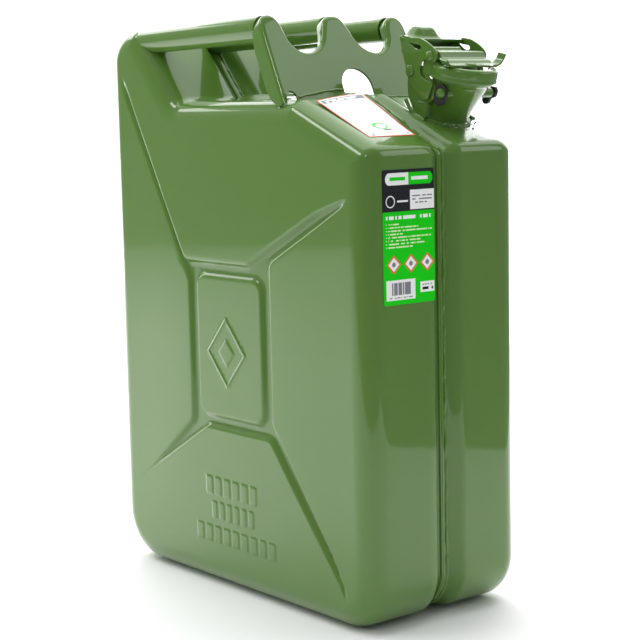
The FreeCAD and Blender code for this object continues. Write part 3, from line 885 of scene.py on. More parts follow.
@dataclass
class PressedRelief:
    """Heights pressed into a broad side: the sunken cross, a lozenge and rows of tablets."""

    depth: float = 3.6
    wall: float = 5.2
    corner: float = 9.0
    fade: float = 13.0
    lozenge: Flat = (-4.0, 200.0)
    lozenge_half: Flat = (25.0, 27.5)
    line_height: float = 0.75
    tablet_height: float = 0.75
    rows: tuple[tuple[float, float, float, float, int], ...] = (
        (-40.0, 33.0, 78.5, 93.6, 6), (-33.0, 28.0, 58.5, 72.6, 6), (-56.0, 56.0, 37.4, 51.1, 9))

    def panels(self) -> list[list[Flat]]:
        """Raised panels between the channels: centre, top, right, left and bottom."""
        return [
            [(-43, 148), (42, 148), (42, 260.5), (-43, 260.5)],
            [(-61, 275.5), (25, 275.5), (114, 320), (152, 332), (260, 420), (200, 560), (-220, 560), (-131, 396)],
            [(56.5, 149), (127, 58), (141, 34), (190, -60), (300, 120), (260, 356), (152, 327), (121, 310),
             (56.5, 276)],
            [(-57, 139.5), (-57, 258), (-66, 271), (-129, 378), (-230, 545), (-330, 240), (-240, 0), (-122, 88.3)],
            [(-34, 134.5), (-123.5, 84.4), (-250, 0), (-120, -120), (200, -100), (134, 34), (131, 38), (51, 134.5)],
        ]

    def panel_distance(self, x: np.ndarray, z: np.ndarray) -> np.ndarray:
        """Distance to the nearest raised panel, with rounded panel corners.

        Args:
            x: forward positions.
            z: heights.

        Returns:
            Distance, negative inside a panel.
        """
        best = np.full(x.shape, 1e9)
        for points in self.panels():
            ordered = points if area(points) > 0 else points[::-1]
            inner = [corner[:2] for corner in inset_corners([(*p, 0.0) for p in ordered], self.corner)]
            best = np.minimum(best, polygon_distance(x, z, inner) - self.corner)
        return best

    def tablets(self) -> list[tuple[float, float, float, float]]:
        """Plain tablets of every row as (x0, x1, z0, z1)."""
        boxes = []
        for x0, x1, z0, z1, count in self.rows:
            pitch = (x1 - x0) / count
            boxes += [(x0 + pitch * k + 1.6, x0 + pitch * (k + 1) - 1.6, z0, z1) for k in range(count)]
        return boxes

    def marks(self, x: np.ndarray, z: np.ndarray) -> np.ndarray:
        """Raised height of the lozenge and the tablets.

        Args:
            x: forward positions.
            z: heights.

        Returns:
            Height over the panel, 0 where nothing is stamped.
        """
        cx, cz = self.lozenge
        hx, hz = self.lozenge_half
        scale = hx * hz / math.hypot(hx, hz)
        away = (np.abs(x - cx) / hx + np.abs(z - cz) / hz - 1) * scale
        height = self.line_height * ease(1.35 - np.abs(away) / 1.1)
        inner = (np.abs(x - cx) / hx + np.abs(z - cz) / hz - 0.42) * scale
        height = np.maximum(height, self.line_height * 0.8 * ease(0.5 - inner / 1.8))
        for x0, x1, z0, z1 in self.tablets():
            ox = np.abs(x - (x0 + x1) / 2) - (x1 - x0) / 2 + 1.8
            oz = np.abs(z - (z0 + z1) / 2) - (z1 - z0) / 2 + 1.8
            away = np.hypot(np.maximum(ox, 0), np.maximum(oz, 0)) + np.minimum(np.maximum(ox, oz), 0) - 1.8
            height = np.maximum(height, self.tablet_height * ease(0.5 - away / 1.9))
        return height

    def outward(self, x: np.ndarray, z: np.ndarray, edge: np.ndarray, marked: bool) -> np.ndarray:
        """Height over the plain side.

        Args:
            x: forward positions.
            z: heights.
            edge: distance to the start of the side rounding.
            marked: True adds the lozenge and tablets.

        Returns:
            Outward distance, negative in the channels.
        """
        sunk = -self.depth * ease(self.panel_distance(x, z) / self.wall) * ease(edge / self.fade)
        crown = 1.1 * ease(edge / 90.0)
        return sunk - 1.1 + crown + (self.marks(x, z) if marked else 0.0)


@dataclass
class PressedHalf:
    """One pressed half shell, from its broad side round to the seam."""

    side: Side
    profile: CanProfile = field(default_factory=CanProfile)
    relief: PressedRelief = field(default_factory=PressedRelief)
    half_width: float = 80.0
    rounding: float = 20.0
    rounding_steps: int = 10
    lip_start: Flat = (13.2, 18.5)
    lip_end: Flat = (6.4, 5.0)
    groove_depth: float = 7.6
    flange_step: float = 2.2
    seam: float = 1.25
    wall: float = 0.9
    coarse: float = 4.2
    fine: float = 1.35
    finest: float = 0.85
    neck_centre: Flat = (121.0, 45.0)
    neck_hole: float = 17.6

    def section(self) -> list[Flat]:
        """(inset, distance from the seam plane) from the broad side to the seam."""
        rows = []
        for k in range(self.rounding_steps + 1):
            turn = math.pi / 2 * k / self.rounding_steps
            rows.append((self.rounding * (1 - math.sin(turn)),
                         self.half_width - 1.1 * (1 - k / self.rounding_steps) ** 2
                         - self.rounding * (1 - math.cos(turn))))
        for y in (50.0, 40.0, 31.0, 25.0, 20.5):
            rows.append((0.0, y))
        start, end = (limits[self.side is Side.LEFT] for limits in (self.lip_start, self.lip_end))
        for k in range(11):
            t = k / 10
            rows.append((self.groove_depth * float(ease(np.array(t))), start + (end - start) * t))
        rows += [(self.groove_depth, 4.6), (self.groove_depth, 3.4), (self.groove_depth - 0.2, 3.0),
                 (self.groove_depth - self.flange_step + 0.15, 2.75), (self.groove_depth - self.flange_step, 2.45),
                 (self.groove_depth - self.flange_step, self.seam)]
        return rows

    def side_grid(self, edge_loop: Loop) -> tuple[np.ndarray, list[tuple[int, ...]]]:
        """Points and triangles that fill the broad side inside its edge loop.

        Args:
            edge_loop: where the side rounding starts.

        Returns:
            Points as (x, z) rows, with the loop first, and triangles.
        """
        marked = self.side is Side.RIGHT
        low, high = np.array(edge_loop).min(0), np.array(edge_loop).max(0)
        layers = []
        for pitch in (self.coarse, self.fine, self.finest):
            xs = np.arange(low[0], high[0], pitch)
            zs = np.arange(low[1], high[1], pitch * 0.8660254)
            x, z = np.meshgrid(xs, zs)
            x = x + (np.arange(len(zs)) % 2)[:, None] * pitch / 2
            layers.append((x.ravel(), z.ravel(), pitch))
        kept = []
        for level, (x, z, pitch) in enumerate(layers):
            inside = -polygon_distance(x, z, edge_loop)
            near = self.relief.panel_distance(x, z)
            slope = (near > -1.6) & (near < self.relief.wall + 1.2)
            stamp = self.stamped(x, z) if marked else np.zeros(x.shape, bool)
            wanted = (~slope & ~stamp, slope & ~stamp, stamp)[level]
            keep = wanted & (inside > pitch * 0.7)
            kept.append(np.stack([x[keep], z[keep]], 1))
        inner = np.concatenate(kept)
        points = [Vector(p) for p in edge_loop] + [Vector(p) for p in inner]
        count = len(edge_loop)
        edges = [(i, (i + 1) % count) for i in range(count)]
        spots, _, faces, origins, _, _ = delaunay_2d_cdt(points, edges, [], 0, 1e-5, True)
        grid, triangles = self.reordered(spots, faces, origins, count)
        middles = np.array([grid[list(face)].mean(0) for face in triangles])
        inside = polygon_distance(middles[:, 0], middles[:, 1], edge_loop) < 0
        return grid, [face for face, keep in zip(triangles, inside) if keep]

    def stamped(self, x: np.ndarray, z: np.ndarray) -> np.ndarray:
        """Marks the edges of the lozenge and the tablets.

        Args:
            x: forward positions.
            z: heights.

        Returns:
            True close to a stamped edge.
        """
        step = 1.0
        here = self.relief.marks(x, z)
        across = np.abs(self.relief.marks(x + step, z) - here) + np.abs(self.relief.marks(x - step, z) - here)
        up = np.abs(self.relief.marks(x, z + step) - here) + np.abs(self.relief.marks(x, z - step) - here)
        return (across + up) > 0.04

    @staticmethod
    def reordered(spots: Sequence[Vector], faces: Sequence[Sequence[int]], origins: Sequence[Sequence[int]],
                  count: int) -> tuple[np.ndarray, list[tuple[int, ...]]]:
        """Triangulation with the loop's points first and in their order."""
        order = sorted(range(len(spots)), key=lambda i: min(origins[i]) if origins[i] else 10 ** 9)
        place = {old: new for new, old in enumerate(order)}
        points = np.array([tuple(spots[i]) for i in order])
        if any(not origins[order[i]] or min(origins[order[i]]) != i for i in range(count)):
            raise RuntimeError("the edge loop lost a point")
        return points, [tuple(place[i] for i in face) for face in faces]

    def solid(self) -> Solid:
        """Open skin of the half, in its final place."""
        rows = self.section()
        sign = self.side.value
        rings = [self.profile.ring(inset) for inset, _ in rows]
        count = len(rings[0])
        solid = Solid()
        for (_, y), loop in zip(rows, rings):
            solid.points.extend((x, sign * y, z + (self.profile.lift(x, y) if z > 300 else 0.0)) for x, z in loop)
        for r in range(len(rows) - 1):
            for i in range(count):
                j = (i + 1) % count
                solid.faces.append((r * count + i, r * count + j, (r + 1) * count + j, (r + 1) * count + i))
        points, faces = self.side_grid(rings[0])
        x, z = points[count:, 0], points[count:, 1]
        edge = -polygon_distance(x, z, rings[0])
        height = self.relief.outward(x, z, edge, self.side is Side.RIGHT)
        start = len(solid.points)
        solid.points.extend((a, sign * (self.half_width + h), b) for a, b, h in zip(x, z, height))
        for face in faces:
            solid.faces.append(tuple(i if i < count else start + i - count for i in face))
        return solid

    def build(self, finish: bpy.types.Material) -> bpy.types.Object:
        """Makes the half shell as a thin closed sheet."""
        name = self.side.name.lower() + "_pressing"
        piece = bpy.data.objects.new(name, self.solid().mesh(name))
        bpy.context.scene.collection.objects.link(piece)
        self.turn_outwards(piece.data)
        sheet = piece.modifiers.new("sheet", "SOLIDIFY")
        sheet.thickness = self.wall * MM
        sheet.offset = -1.0
        if self.side is Side.LEFT:
            self.bore(piece)
        freeze(piece)
        shade(piece, 50.0, False)
        return dress(piece, finish, Slot.ENAMEL, Body.CAN, self.side.name.lower() + "_shell")

    def turn_outwards(self, mesh: bpy.types.Mesh) -> None:
        """Flips the skin if its broad side looks inwards."""
        widest = max(mesh.polygons, key=lambda p: abs(p.center.y) + p.area)
        if widest.normal.y * self.side.value < 0:
            mesh.flip_normals()

    def bore(self, piece: bpy.types.Object) -> None:
        """Cuts the hole under the neck."""
        x, y = self.neck_centre
        normal = self.profile.shoulder_normal()
        centre = Vector((x, y, self.profile.shoulder_height(x)))
        rod = lathe([(0, -12), (self.neck_hole, -12), (self.neck_hole, 12), (0, 12)], 48)
        turn = normal.to_track_quat("Z", "Y").to_matrix()
        cutter = Solid().merge(rod, lambda p: tuple(turn @ Vector(p) + centre))
        tool = bpy.data.objects.new("bore", cutter.mesh("bore"))
        bpy.context.scene.collection.objects.link(tool)
        hole = piece.modifiers.new("hole", "BOOLEAN")
        hole.operation = "DIFFERENCE"
        hole.solver = "EXACT"
        hole.object = tool
        freeze(piece)
        bpy.data.objects.remove(tool)


@dataclass
class Seam:
    """Weld bead and a filler strip in the groove between the halves."""

    profile: CanProfile = field(default_factory=CanProfile)
    inset: float = 5.2
    offset: float = 2.4
    radius: float = 1.3
    beads: BeadTree | None = None

    def rise(self, x: float, z: float) -> float:
        """Crown of the top at a point of the seam."""
        return self.profile.lift(x, 0.0) if z > 300 else 0.0

    def build(self, finish: bpy.types.Material) -> bpy.types.Object:
        """Lays the bead round the whole can."""
        path = [(x, self.offset, z + self.rise(x, z)) for x, z in self.profile.ring(self.inset)]
        piece = self.beads.run("seam_bead", path, {
            "Bead Radius": self.radius, "Pitch": 1.4, "Wander": 2.4, "Swelling": 0.9, "Ripple Scale": 110.0,
        }, True)
        core = Solid()
        loops = [[(x, y, z + self.rise(x, z)) for x, z in self.profile.ring(inset)]
                 for y, inset in ((-1.3, self.inset - 0.1), (1.3, self.inset - 0.1), (1.3, 9.2), (-1.3, 9.2))]
        core.merge(loft(loops, closed=True))
        fill = make_piece("seam_core", core, 40.0, False)
        dress(fill, finish, Slot.ENAMEL, Body.CAN)
        return dress(piece, finish, Slot.ENAMEL, Body.CAN, "seam_weld")


# ---------------------------------------------------------------- carrying handle

@dataclass
class Handle:
    """Three tubes, the lobed support in front of them and its foot welds."""

    profile: CanProfile = field(default_factory=CanProfile)
    spacing: float = 64.0
    tube_radius: float = 10.5
    tube_wall: float = 1.5
    rear: Flat = (-150.0, 455.0)
    front_x: float = 36.0
    rise: float = 1.3
    foot_x: float = 71.0
    top_x: float = 41.0
    floor: float = 404.0
    top: float = 470.0
    sheet: float = 1.9
    fold: float = 3.6
    half_width: float = 75.0
    arch: Spot = (4.0, 9.5, 15.5)
    notch: Spot = (-66.0, -3.0, 6.0)
    beads: BeadTree | None = None

    def tube(self, y: float) -> Solid:
        """One open tube with rolled ends."""
        outer, inner = self.tube_radius, self.tube_radius - self.tube_wall
        length = (self.front_x - self.rear[0]) / math.cos(math.radians(self.rise))
        start = 14.0 if abs(y) < 1 else 3.0
        profile = [(0, start), (outer - 1.2, start), (outer - 0.4, start + 0.4), (outer, start + 1.4)]
        profile += [(outer, start + (length - start) * k / 12) for k in range(1, 12)]
        profile += [(outer, length - 0.8), (outer - 0.25, length - 0.2), (outer - 0.75, length)]
        profile += [(inner + 0.3, length), (inner, length - 0.4), (inner, length - 45), (0, length - 45)]
        turned = lathe(profile, 48)
        slope = math.radians(self.rise)
        cos, sin = math.cos(slope), math.sin(slope)

        def place(point: Spot) -> Spot:
            a, b, c = point
            return (self.rear[0] + c * cos - b * sin, y + a, self.rear[1] + c * sin + b * cos)

        return Solid().merge(turned, place)

    def lobes(self) -> Loop:
        """Lobed top edge from the middle outwards as (y, z)."""
        return [
            (0, 470.0), (5, 469.3), (9.2, 466.4), (12.6, 460.8), (15.6, 454.0), (19.0, 448.3),
            (24.0, 443.9), (29.5, 441.2), (35.5, 440.2), (41.5, 441.4), (47.0, 444.9), (51.0, 450.4),
            (53.0, 457.0), (55.0, 463.6), (59.0, 468.4), (64.5, 470.0), (70.0, 468.2), (73.8, 463.0), (75.0, 456.0),
        ]

    def contour(self) -> list[tuple[float, float, float]]:
        """Folded edge from the near foot over the lobes to the far foot, as (y, up, flange depth)."""
        stretch = math.hypot(self.foot_x - self.top_x, self.top - self.floor) / (self.top - self.floor)
        right = flowing(self.lobes(), 5)
        path = [(-75.0, -3.5), (-75.0, 5.0), (-75.0, 15.0), (-75.0, 25.0), (-75.0, 35.0), (-75.0, 46.0)]
        path += [(-y, (z - self.floor) * stretch) for y, z in reversed(right[1:])]
        path += [(y, (z - self.floor) * stretch) for y, z in right]
        path += [(-y, up) for y, up in reversed(path[:6])]
        result = []
        for y, up in path:
            if abs(y) > 70:
                depth = 16.0 - 6.5 * max(0.0, (up - 52.0) / 20.0) - 8.0 * max(0.0, (8.0 - up) / 11.5)
            else:
                depth = 4.8 + 5.0 * max(0.0, min(1.0, (up - 42.0) / 24.0))
            result.append((y, up, depth))
        return result

    def at(self, y: float, up: float, out: float) -> Spot:
        """Point of the leaning sheet: across, up the sheet and out of it."""
        run, rise = self.foot_x - self.top_x, self.top - self.floor
        length = math.hypot(run, rise)
        return (self.foot_x - run / length * up + rise / length * out, y,
                self.floor + rise / length * up + run / length * out)

    def support(self) -> Solid:
        """Skin of the support: lobed face, folded edge and flanges."""
        contour = self.contour()
        count = len(contour)
        flat = [(y, up) for y, up, _ in contour]
        normals = []
        for i in range(count):
            before = Vector(flat[max(i - 1, 0)])
            after = Vector(flat[min(i + 1, count - 1)])
            along = (after - before).normalized()
            normals.append(Vector((along.y, -along.x)))
        rows = [(self.fold, 0.0)]
        for k in range(1, 6):
            turn = math.pi / 2 * k / 5
            rows.append((self.fold * (1 - math.sin(turn)), -self.fold * (1 - math.cos(turn))))
        solid = Solid()
        for inset, out in rows:
            for (y, up), normal in zip(flat, normals):
                solid.points.append(self.at(y + normal.x * inset, up + normal.y * inset, out + self.sheet))
        for share in (0.5, 1.0):
            for y, up, depth in contour:
                solid.points.append(self.at(y, up, self.sheet - self.fold - (depth - self.fold) * share))
        for r in range(len(rows) + 1):
            for i in range(count - 1):
                a, b = r * count, (r + 1) * count
                solid.faces.append((a + i, b + i, b + i + 1, a + i + 1))
        self.face(solid, [(y + n.x * self.fold, up + n.y * self.fold) for (y, up), n in zip(flat, normals)])
        return solid

    def face(self, solid: Solid, edge: Loop) -> None:
        """Adds the flat lobed face inside the fold.

        Args:
            solid: skin whose first points are the fold line.
            edge: the fold line in sheet coordinates.
        """
        foot: Loop = [(62.0, -5.0), (58.0, -2.0), (40.0, -2.0)]
        centre, base, radius = self.arch
        foot += [(centre + radius, -2.0)]
        foot += [(centre + radius * math.cos(math.pi * k / 16), base + radius * math.sin(math.pi * k / 16))
                 for k in range(17)]
        foot += [(centre - radius, -2.0), (-40.0, -2.0)]
        ny, nup, nr = self.notch
        foot += [(ny + nr, -2.0)]
        foot += [(ny + nr * math.cos(math.pi * k / 10), nup + 3.5 + nr * math.sin(math.pi * k / 10)) for k in range(11)]
        foot += [(ny - nr + 0.6, -3.4)]
        count = len(edge)
        start = len(solid.points)
        solid.points.extend(self.at(y, up, self.sheet) for y, up in foot)
        indices = list(range(count)) + list(range(start, start + len(foot)))
        loop = [Vector((y, up, 0)) for y, up in [*edge, *foot]]
        for face in tessellate_polygon([loop]):
            solid.faces.append(tuple(indices[i] for i in face))

    def build(self, finish: bpy.types.Material) -> None:
        """Makes every piece of the handle."""
        for name, y in (("right_bar", -self.spacing), ("middle_bar", 0.0), ("left_bar", self.spacing)):
            dress(make_piece(name, self.tube(y), 40.0), finish, Slot.ENAMEL, Body.CAN, name.replace("bar", "grip"))
        solid = self.support()
        piece = bpy.data.objects.new("bar_support", solid.mesh("bar_support"))
        bpy.context.scene.collection.objects.link(piece)
        lowest = max(piece.data.polygons, key=lambda p: p.area)
        if lowest.normal.x < 0:
            piece.data.flip_normals()
        sheet = piece.modifiers.new("sheet", "SOLIDIFY")
        sheet.thickness = self.sheet * MM
        sheet.offset = -1.0
        rim = piece.modifiers.new("rim", "BEVEL")
        rim.width = 0.45 * MM
        rim.segments = 2
        rim.limit_method = "ANGLE"
        rim.angle_limit = math.radians(50)
        freeze(piece)
        shade(piece, 45.0, True)
        dress(piece, finish, Slot.ENAMEL, Body.CAN, "handle_support")
        self.welds(finish)

    def welds(self, finish: bpy.types.Material) -> None:
        """Foot welds on both sides of the arch."""
        x = self.foot_x + 1.4
        parts = []
        for name, y0, y1 in (("near_foot_weld", -59.0, -13.0), ("far_foot_weld", 21.0, 60.0)):
            path = [(x - 0.45 * self.profile.lift(x, y), y, self.profile.top_height(x, y) + 0.2)
                    for y in (y0 + (y1 - y0) * k / 12 for k in range(13))]
            parts.append(self.beads.run(name, path, {
                "Bead Radius": 1.3, "Pitch": 1.1, "Wander": 1.6, "Swelling": 0.9, "Ripple Scale": 180.0}, False))
        dress(parts[0], finish, Slot.ENAMEL, Body.CAN, "support_weld")
        dress(parts[1], finish, Slot.ENAMEL, Body.CAN)


# ---------------------------------------------------------------- filler and closure

@dataclass
class MouthFrame:
    """Frame of the closure: forward, across and up from the middle of the mouth."""

    x: float = 146.0
    y: float = 45.0
    z: float = 416.7
    tilt: float = 12.0

    def at(self, forward: float, across: float, up: float) -> Spot:
        """Point of the can from a point of the mouth."""
        cos, sin = math.cos(math.radians(self.tilt)), math.sin(math.radians(self.tilt))
        return (self.x + forward * cos + up * sin, self.y + across, self.z - forward * sin + up * cos)

    def lying(self, point: Spot) -> Spot:
        """Point of a turned shape, axis up."""
        return self.at(point[0], point[1], point[2])

    def standing(self, point: Spot) -> Spot:
        """Point of a plate drawn as (forward, up, across)."""
        return self.at(point[0], point[2], point[1])

    def rod(self, forward: float, up: float) -> Callable[[Spot], Spot]:
        """Placement of a turned shape whose axis runs across the can."""
        return lambda p: self.at(forward + p[0], p[2], up + p[1])


@dataclass
class Neck:
    """Leaning neck with rolled rim, foot weld and spatter."""

    mouth: MouthFrame
    profile: CanProfile = field(default_factory=CanProfile)
    foot_x: float = 121.0
    foot_radius: float = 20.0
    top_radius: float = 22.8
    wall: float = 1.6
    rim_radius: float = 24.1
    steps: int = 72
    beads: BeadTree | None = None
    spatter: SpatterTree | None = None

    def foot(self) -> tuple[Vector, Vector]:
        """Centre of the neck on the shoulder and the shoulder's direction."""
        return (Vector((self.foot_x, self.mouth.y, self.profile.top_height(self.foot_x, self.mouth.y))),
                self.profile.shoulder_normal())

    def ring(self, share: float, radius: float, lift: float = 0.0) -> list[Spot]:
        """Ring round the leaning axis.

        Args:
            share: 0 on the shoulder, 1 at the mouth.
            radius: ring radius.
            lift: extra height along the ring's axis.

        Returns:
            Its points.
        """
        low, slope = self.foot()
        high = Vector(self.mouth.at(0, 0, 0))
        level = (Vector(self.mouth.at(0, 0, 1)) - high).normalized()
        axis = slope.lerp(level, share).normalized()
        centre = low.lerp(high, share) + axis * lift
        across = Vector((0, 1, 0))
        forward = across.cross(axis).normalized()
        return [tuple(centre + (forward * math.cos(t) + across * math.sin(t)) * radius)
                for t in (2 * math.pi * k / self.steps for k in range(self.steps))]

    def solid(self) -> Solid:
        """Neck as one closed turned wall."""
        rings = [self.ring(0.0, self.foot_radius, -2.0)]
        for k in range(15):
            share = k / 15
            flare = 1.6 * math.exp(-share / 0.07) - 0.7 * math.sin(math.pi * share)
            rings.append(self.ring(share, self.foot_radius + (self.top_radius - self.foot_radius) * share + flare))
        rings.append(self.ring(1.0, self.top_radius + 0.1, -2.4))
        for turn in range(-80, 100, 18):
            angle = math.radians(turn)
            rings.append(self.ring(1.0, self.rim_radius - 1.3 + 1.3 * math.cos(angle), -0.3 + 1.5 * math.sin(angle)))
        inner = self.top_radius - self.wall
        rings.append(self.ring(1.0, inner + 0.5, 1.1))
        rings.append(self.ring(1.0, inner, 0.4))
        for k in range(8):
            share = 1 - k / 8
            rings.append(self.ring(share, self.foot_radius - self.wall
                                   + (self.top_radius - self.foot_radius) * share, -0.4))
        rings.append(self.ring(0.0, self.foot_radius - self.wall, -2.0))
        return loft(rings, closed=True)

    def build(self, finish: bpy.types.Material) -> None:
        """Makes the neck, its weld and the spatter round it."""
        dress(make_piece("filler_neck", self.solid(), 60.0, False), finish, Slot.ENAMEL, Body.CAN, "neck")
        sizes = {"Bead Radius": 1.5, "Pitch": 0.9, "Wander": 3.0, "Swelling": 1.1, "Ripple Scale": 240.0}
        weld = self.beads.run("neck_bead", self.ring(0.0, self.foot_radius + 1.6, 0.6), sizes, True)
        dress(weld, finish, Slot.ENAMEL, Body.CAN, "neck_weld")
        sizes["Bead Radius"] = 0.9
        toe = self.beads.run("neck_toe", self.ring(0.0, self.foot_radius + 3.6, 0.1), sizes, True)
        dress(toe, finish, Slot.ENAMEL, Body.CAN)
        centre, slope = self.foot()
        place = Matrix.Translation((centre + slope * 0.2) * MM) @ slope.to_track_quat("Z", "Y").to_matrix().to_4x4()
        drops = self.spatter.run("neck_spatter", self.foot_radius + 6.2, 0.75, place)
        dress(drops, finish, Slot.ENAMEL, Body.CAN)


@dataclass
class HingeBracket:
    """Bracket welded behind the neck that carries the hinge pin and, beside it, the latch studs."""

    mouth: MouthFrame
    ear_inner: float = 22.8
    sheet: float = 1.8
    pin: Flat = (-31.8, 0.7)
    pin_radius: float = 2.5
    stud: Flat = (4.7, -9.9)
    stud_radius: float = 3.8
    beads: BeadTree | None = None

    def ears(self) -> Solid:
        """Two ears, the web between them and their feet."""
        outline = smooth_loop([
            (-36.2, 3.0), (-36.2, -8.0), (-33.0, -20.0), (-24.0, -29.5), (-10.6, -31.0), (-10.2, -20.5),
            (-3.2, -16.0), (-1.6, -10.6), (-4.6, -5.0), (-12.0, -1.0), (-19.4, 6.0), (-28.0, 8.0), (-33.0, 6.4)], 3.4)
        solid = Solid()
        for side in (-1, 1):
            near = side * self.ear_inner
            low, high = sorted((near, near + side * self.sheet))
            solid.merge(plate(outline, [], low, high), self.mouth.standing)
            foot = smooth_loop([(-24.0, -32.0), (-10.5, -33.0), (-10.0, -20.0), (-22.0, -20.5)], 1.5)
            low, high = sorted((side * 17.0, side * (self.ear_inner + self.sheet + 0.6)))
            solid.merge(plate(foot, [], low, high, 1.0), self.mouth.standing)
        web = smooth_loop([(-36.2, -6.0), (-34.4, -6.0), (-31.2, -20.0), (-33.0, -20.0)], 0.7)
        reach = self.ear_inner + self.sheet - 0.3
        solid.merge(plate(web, [], -reach, reach), self.mouth.standing)
        return solid

    def build(self, enamel: bpy.types.Material, plastic: bpy.types.Material) -> None:
        """Makes the bracket, pin, studs and keeper."""
        dress(make_piece("bracket", self.ears(), 40.0), enamel, Slot.ENAMEL, Body.CAN, "hinge_bracket")
        reach = 27.05
        head = 4.6
        domed = [(head, 0.0), (head, 0.5), (head * 0.85, 1.1), (head * 0.45, 1.5), (0.0, 1.6)]
        pin = Solid()
        outline = [(0.0, -reach - 1.6)] + [(r, -reach - h) for r, h in reversed(domed[:-1])]
        outline += [(self.pin_radius, -reach), (self.pin_radius, reach)] + [(r, reach + h) for r, h in domed]
        pin.merge(lathe(outline, 28), self.mouth.rod(*self.pin))
        dress(make_piece("pin", pin, 35.0), enamel, Slot.ENAMEL, Body.CAN, "hinge_pin")
        radius = self.stud_radius
        knob = [(0.0, 13.0), (radius, 13.0), (radius, 26.4), (radius - 0.4, 27.4), (radius - 1.3, 27.9), (0.0, 28.0)]
        for name, side in (("right_stud", -1), ("left_stud", 1)):
            stud = Solid().merge(lathe([(r, side * h) for r, h in knob], 32), self.mouth.rod(*self.stud))
            node = name.replace("stud", "latch_stud")
            dress(make_piece(name, stud, 35.0), enamel, Slot.ENAMEL, Body.CAN, node)
        p, s = self.stud
        loop = smooth_loop([(p + 5.0, s + 1.5), (p + 3.0, s + 5.0), (p - 2.6, s + 4.6), (p - 5.0, s + 1.0),
                            (p - 4.2, s - 2.6), (p - 9.0, s - 3.6), (p - 9.8, s - 8.0), (p - 7.0, s - 10.8),
                            (p - 2.6, s - 9.6), (p - 1.2, s - 4.8), (p + 3.6, s - 3.6)], 2.4)
        keeper = Solid().merge(plate(loop, [], 28.05, 31.4, 0.8), self.mouth.standing)
        dress(make_piece("keeper", keeper, 40.0), plastic, Slot.PLASTIC, Body.CAN, "stud_keeper")
        # Black plastic plate on the near ear round the stud: painted shade for the shadowed recess of the notch, not a
        # real washer.
        shade_outline = smooth_loop([(p - 8.6, s + 3.6), (p - 5.0, s + 7.0), (p + 2.6, s + 6.0), (p + 5.4, s + 0.6),
                              (p + 4.0, s - 7.4), (p - 1.6, s - 10.4), (p - 9.0, s - 8.6)], 3.0)
        near = Solid().merge(plate(shade_outline, [], -24.95, -22.3, 0.8), self.mouth.standing)
        dress(make_piece("near_washer", near, 40.0), plastic, Slot.PLASTIC, Body.CAN)
        for name, side in (("bracket_toe_right", -1), ("bracket_toe_left", 1)):
            path = [self.mouth.at(p0, side * 26.2, s0) for p0, s0 in flowing(
                [(-33.0, -22.2), (-26.0, -28.6), (-20.0, -31.6), (-14.0, -33.0), (-9.0, -33.4)], 4)]
            toe = self.beads.run(name, path, {"Bead Radius": 1.5, "Pitch": 1.1, "Wander": 2.2,
                                              "Swelling": 1.0, "Ripple Scale": 170.0}, False)
            dress(toe, enamel, Slot.ENAMEL, Body.CAN)


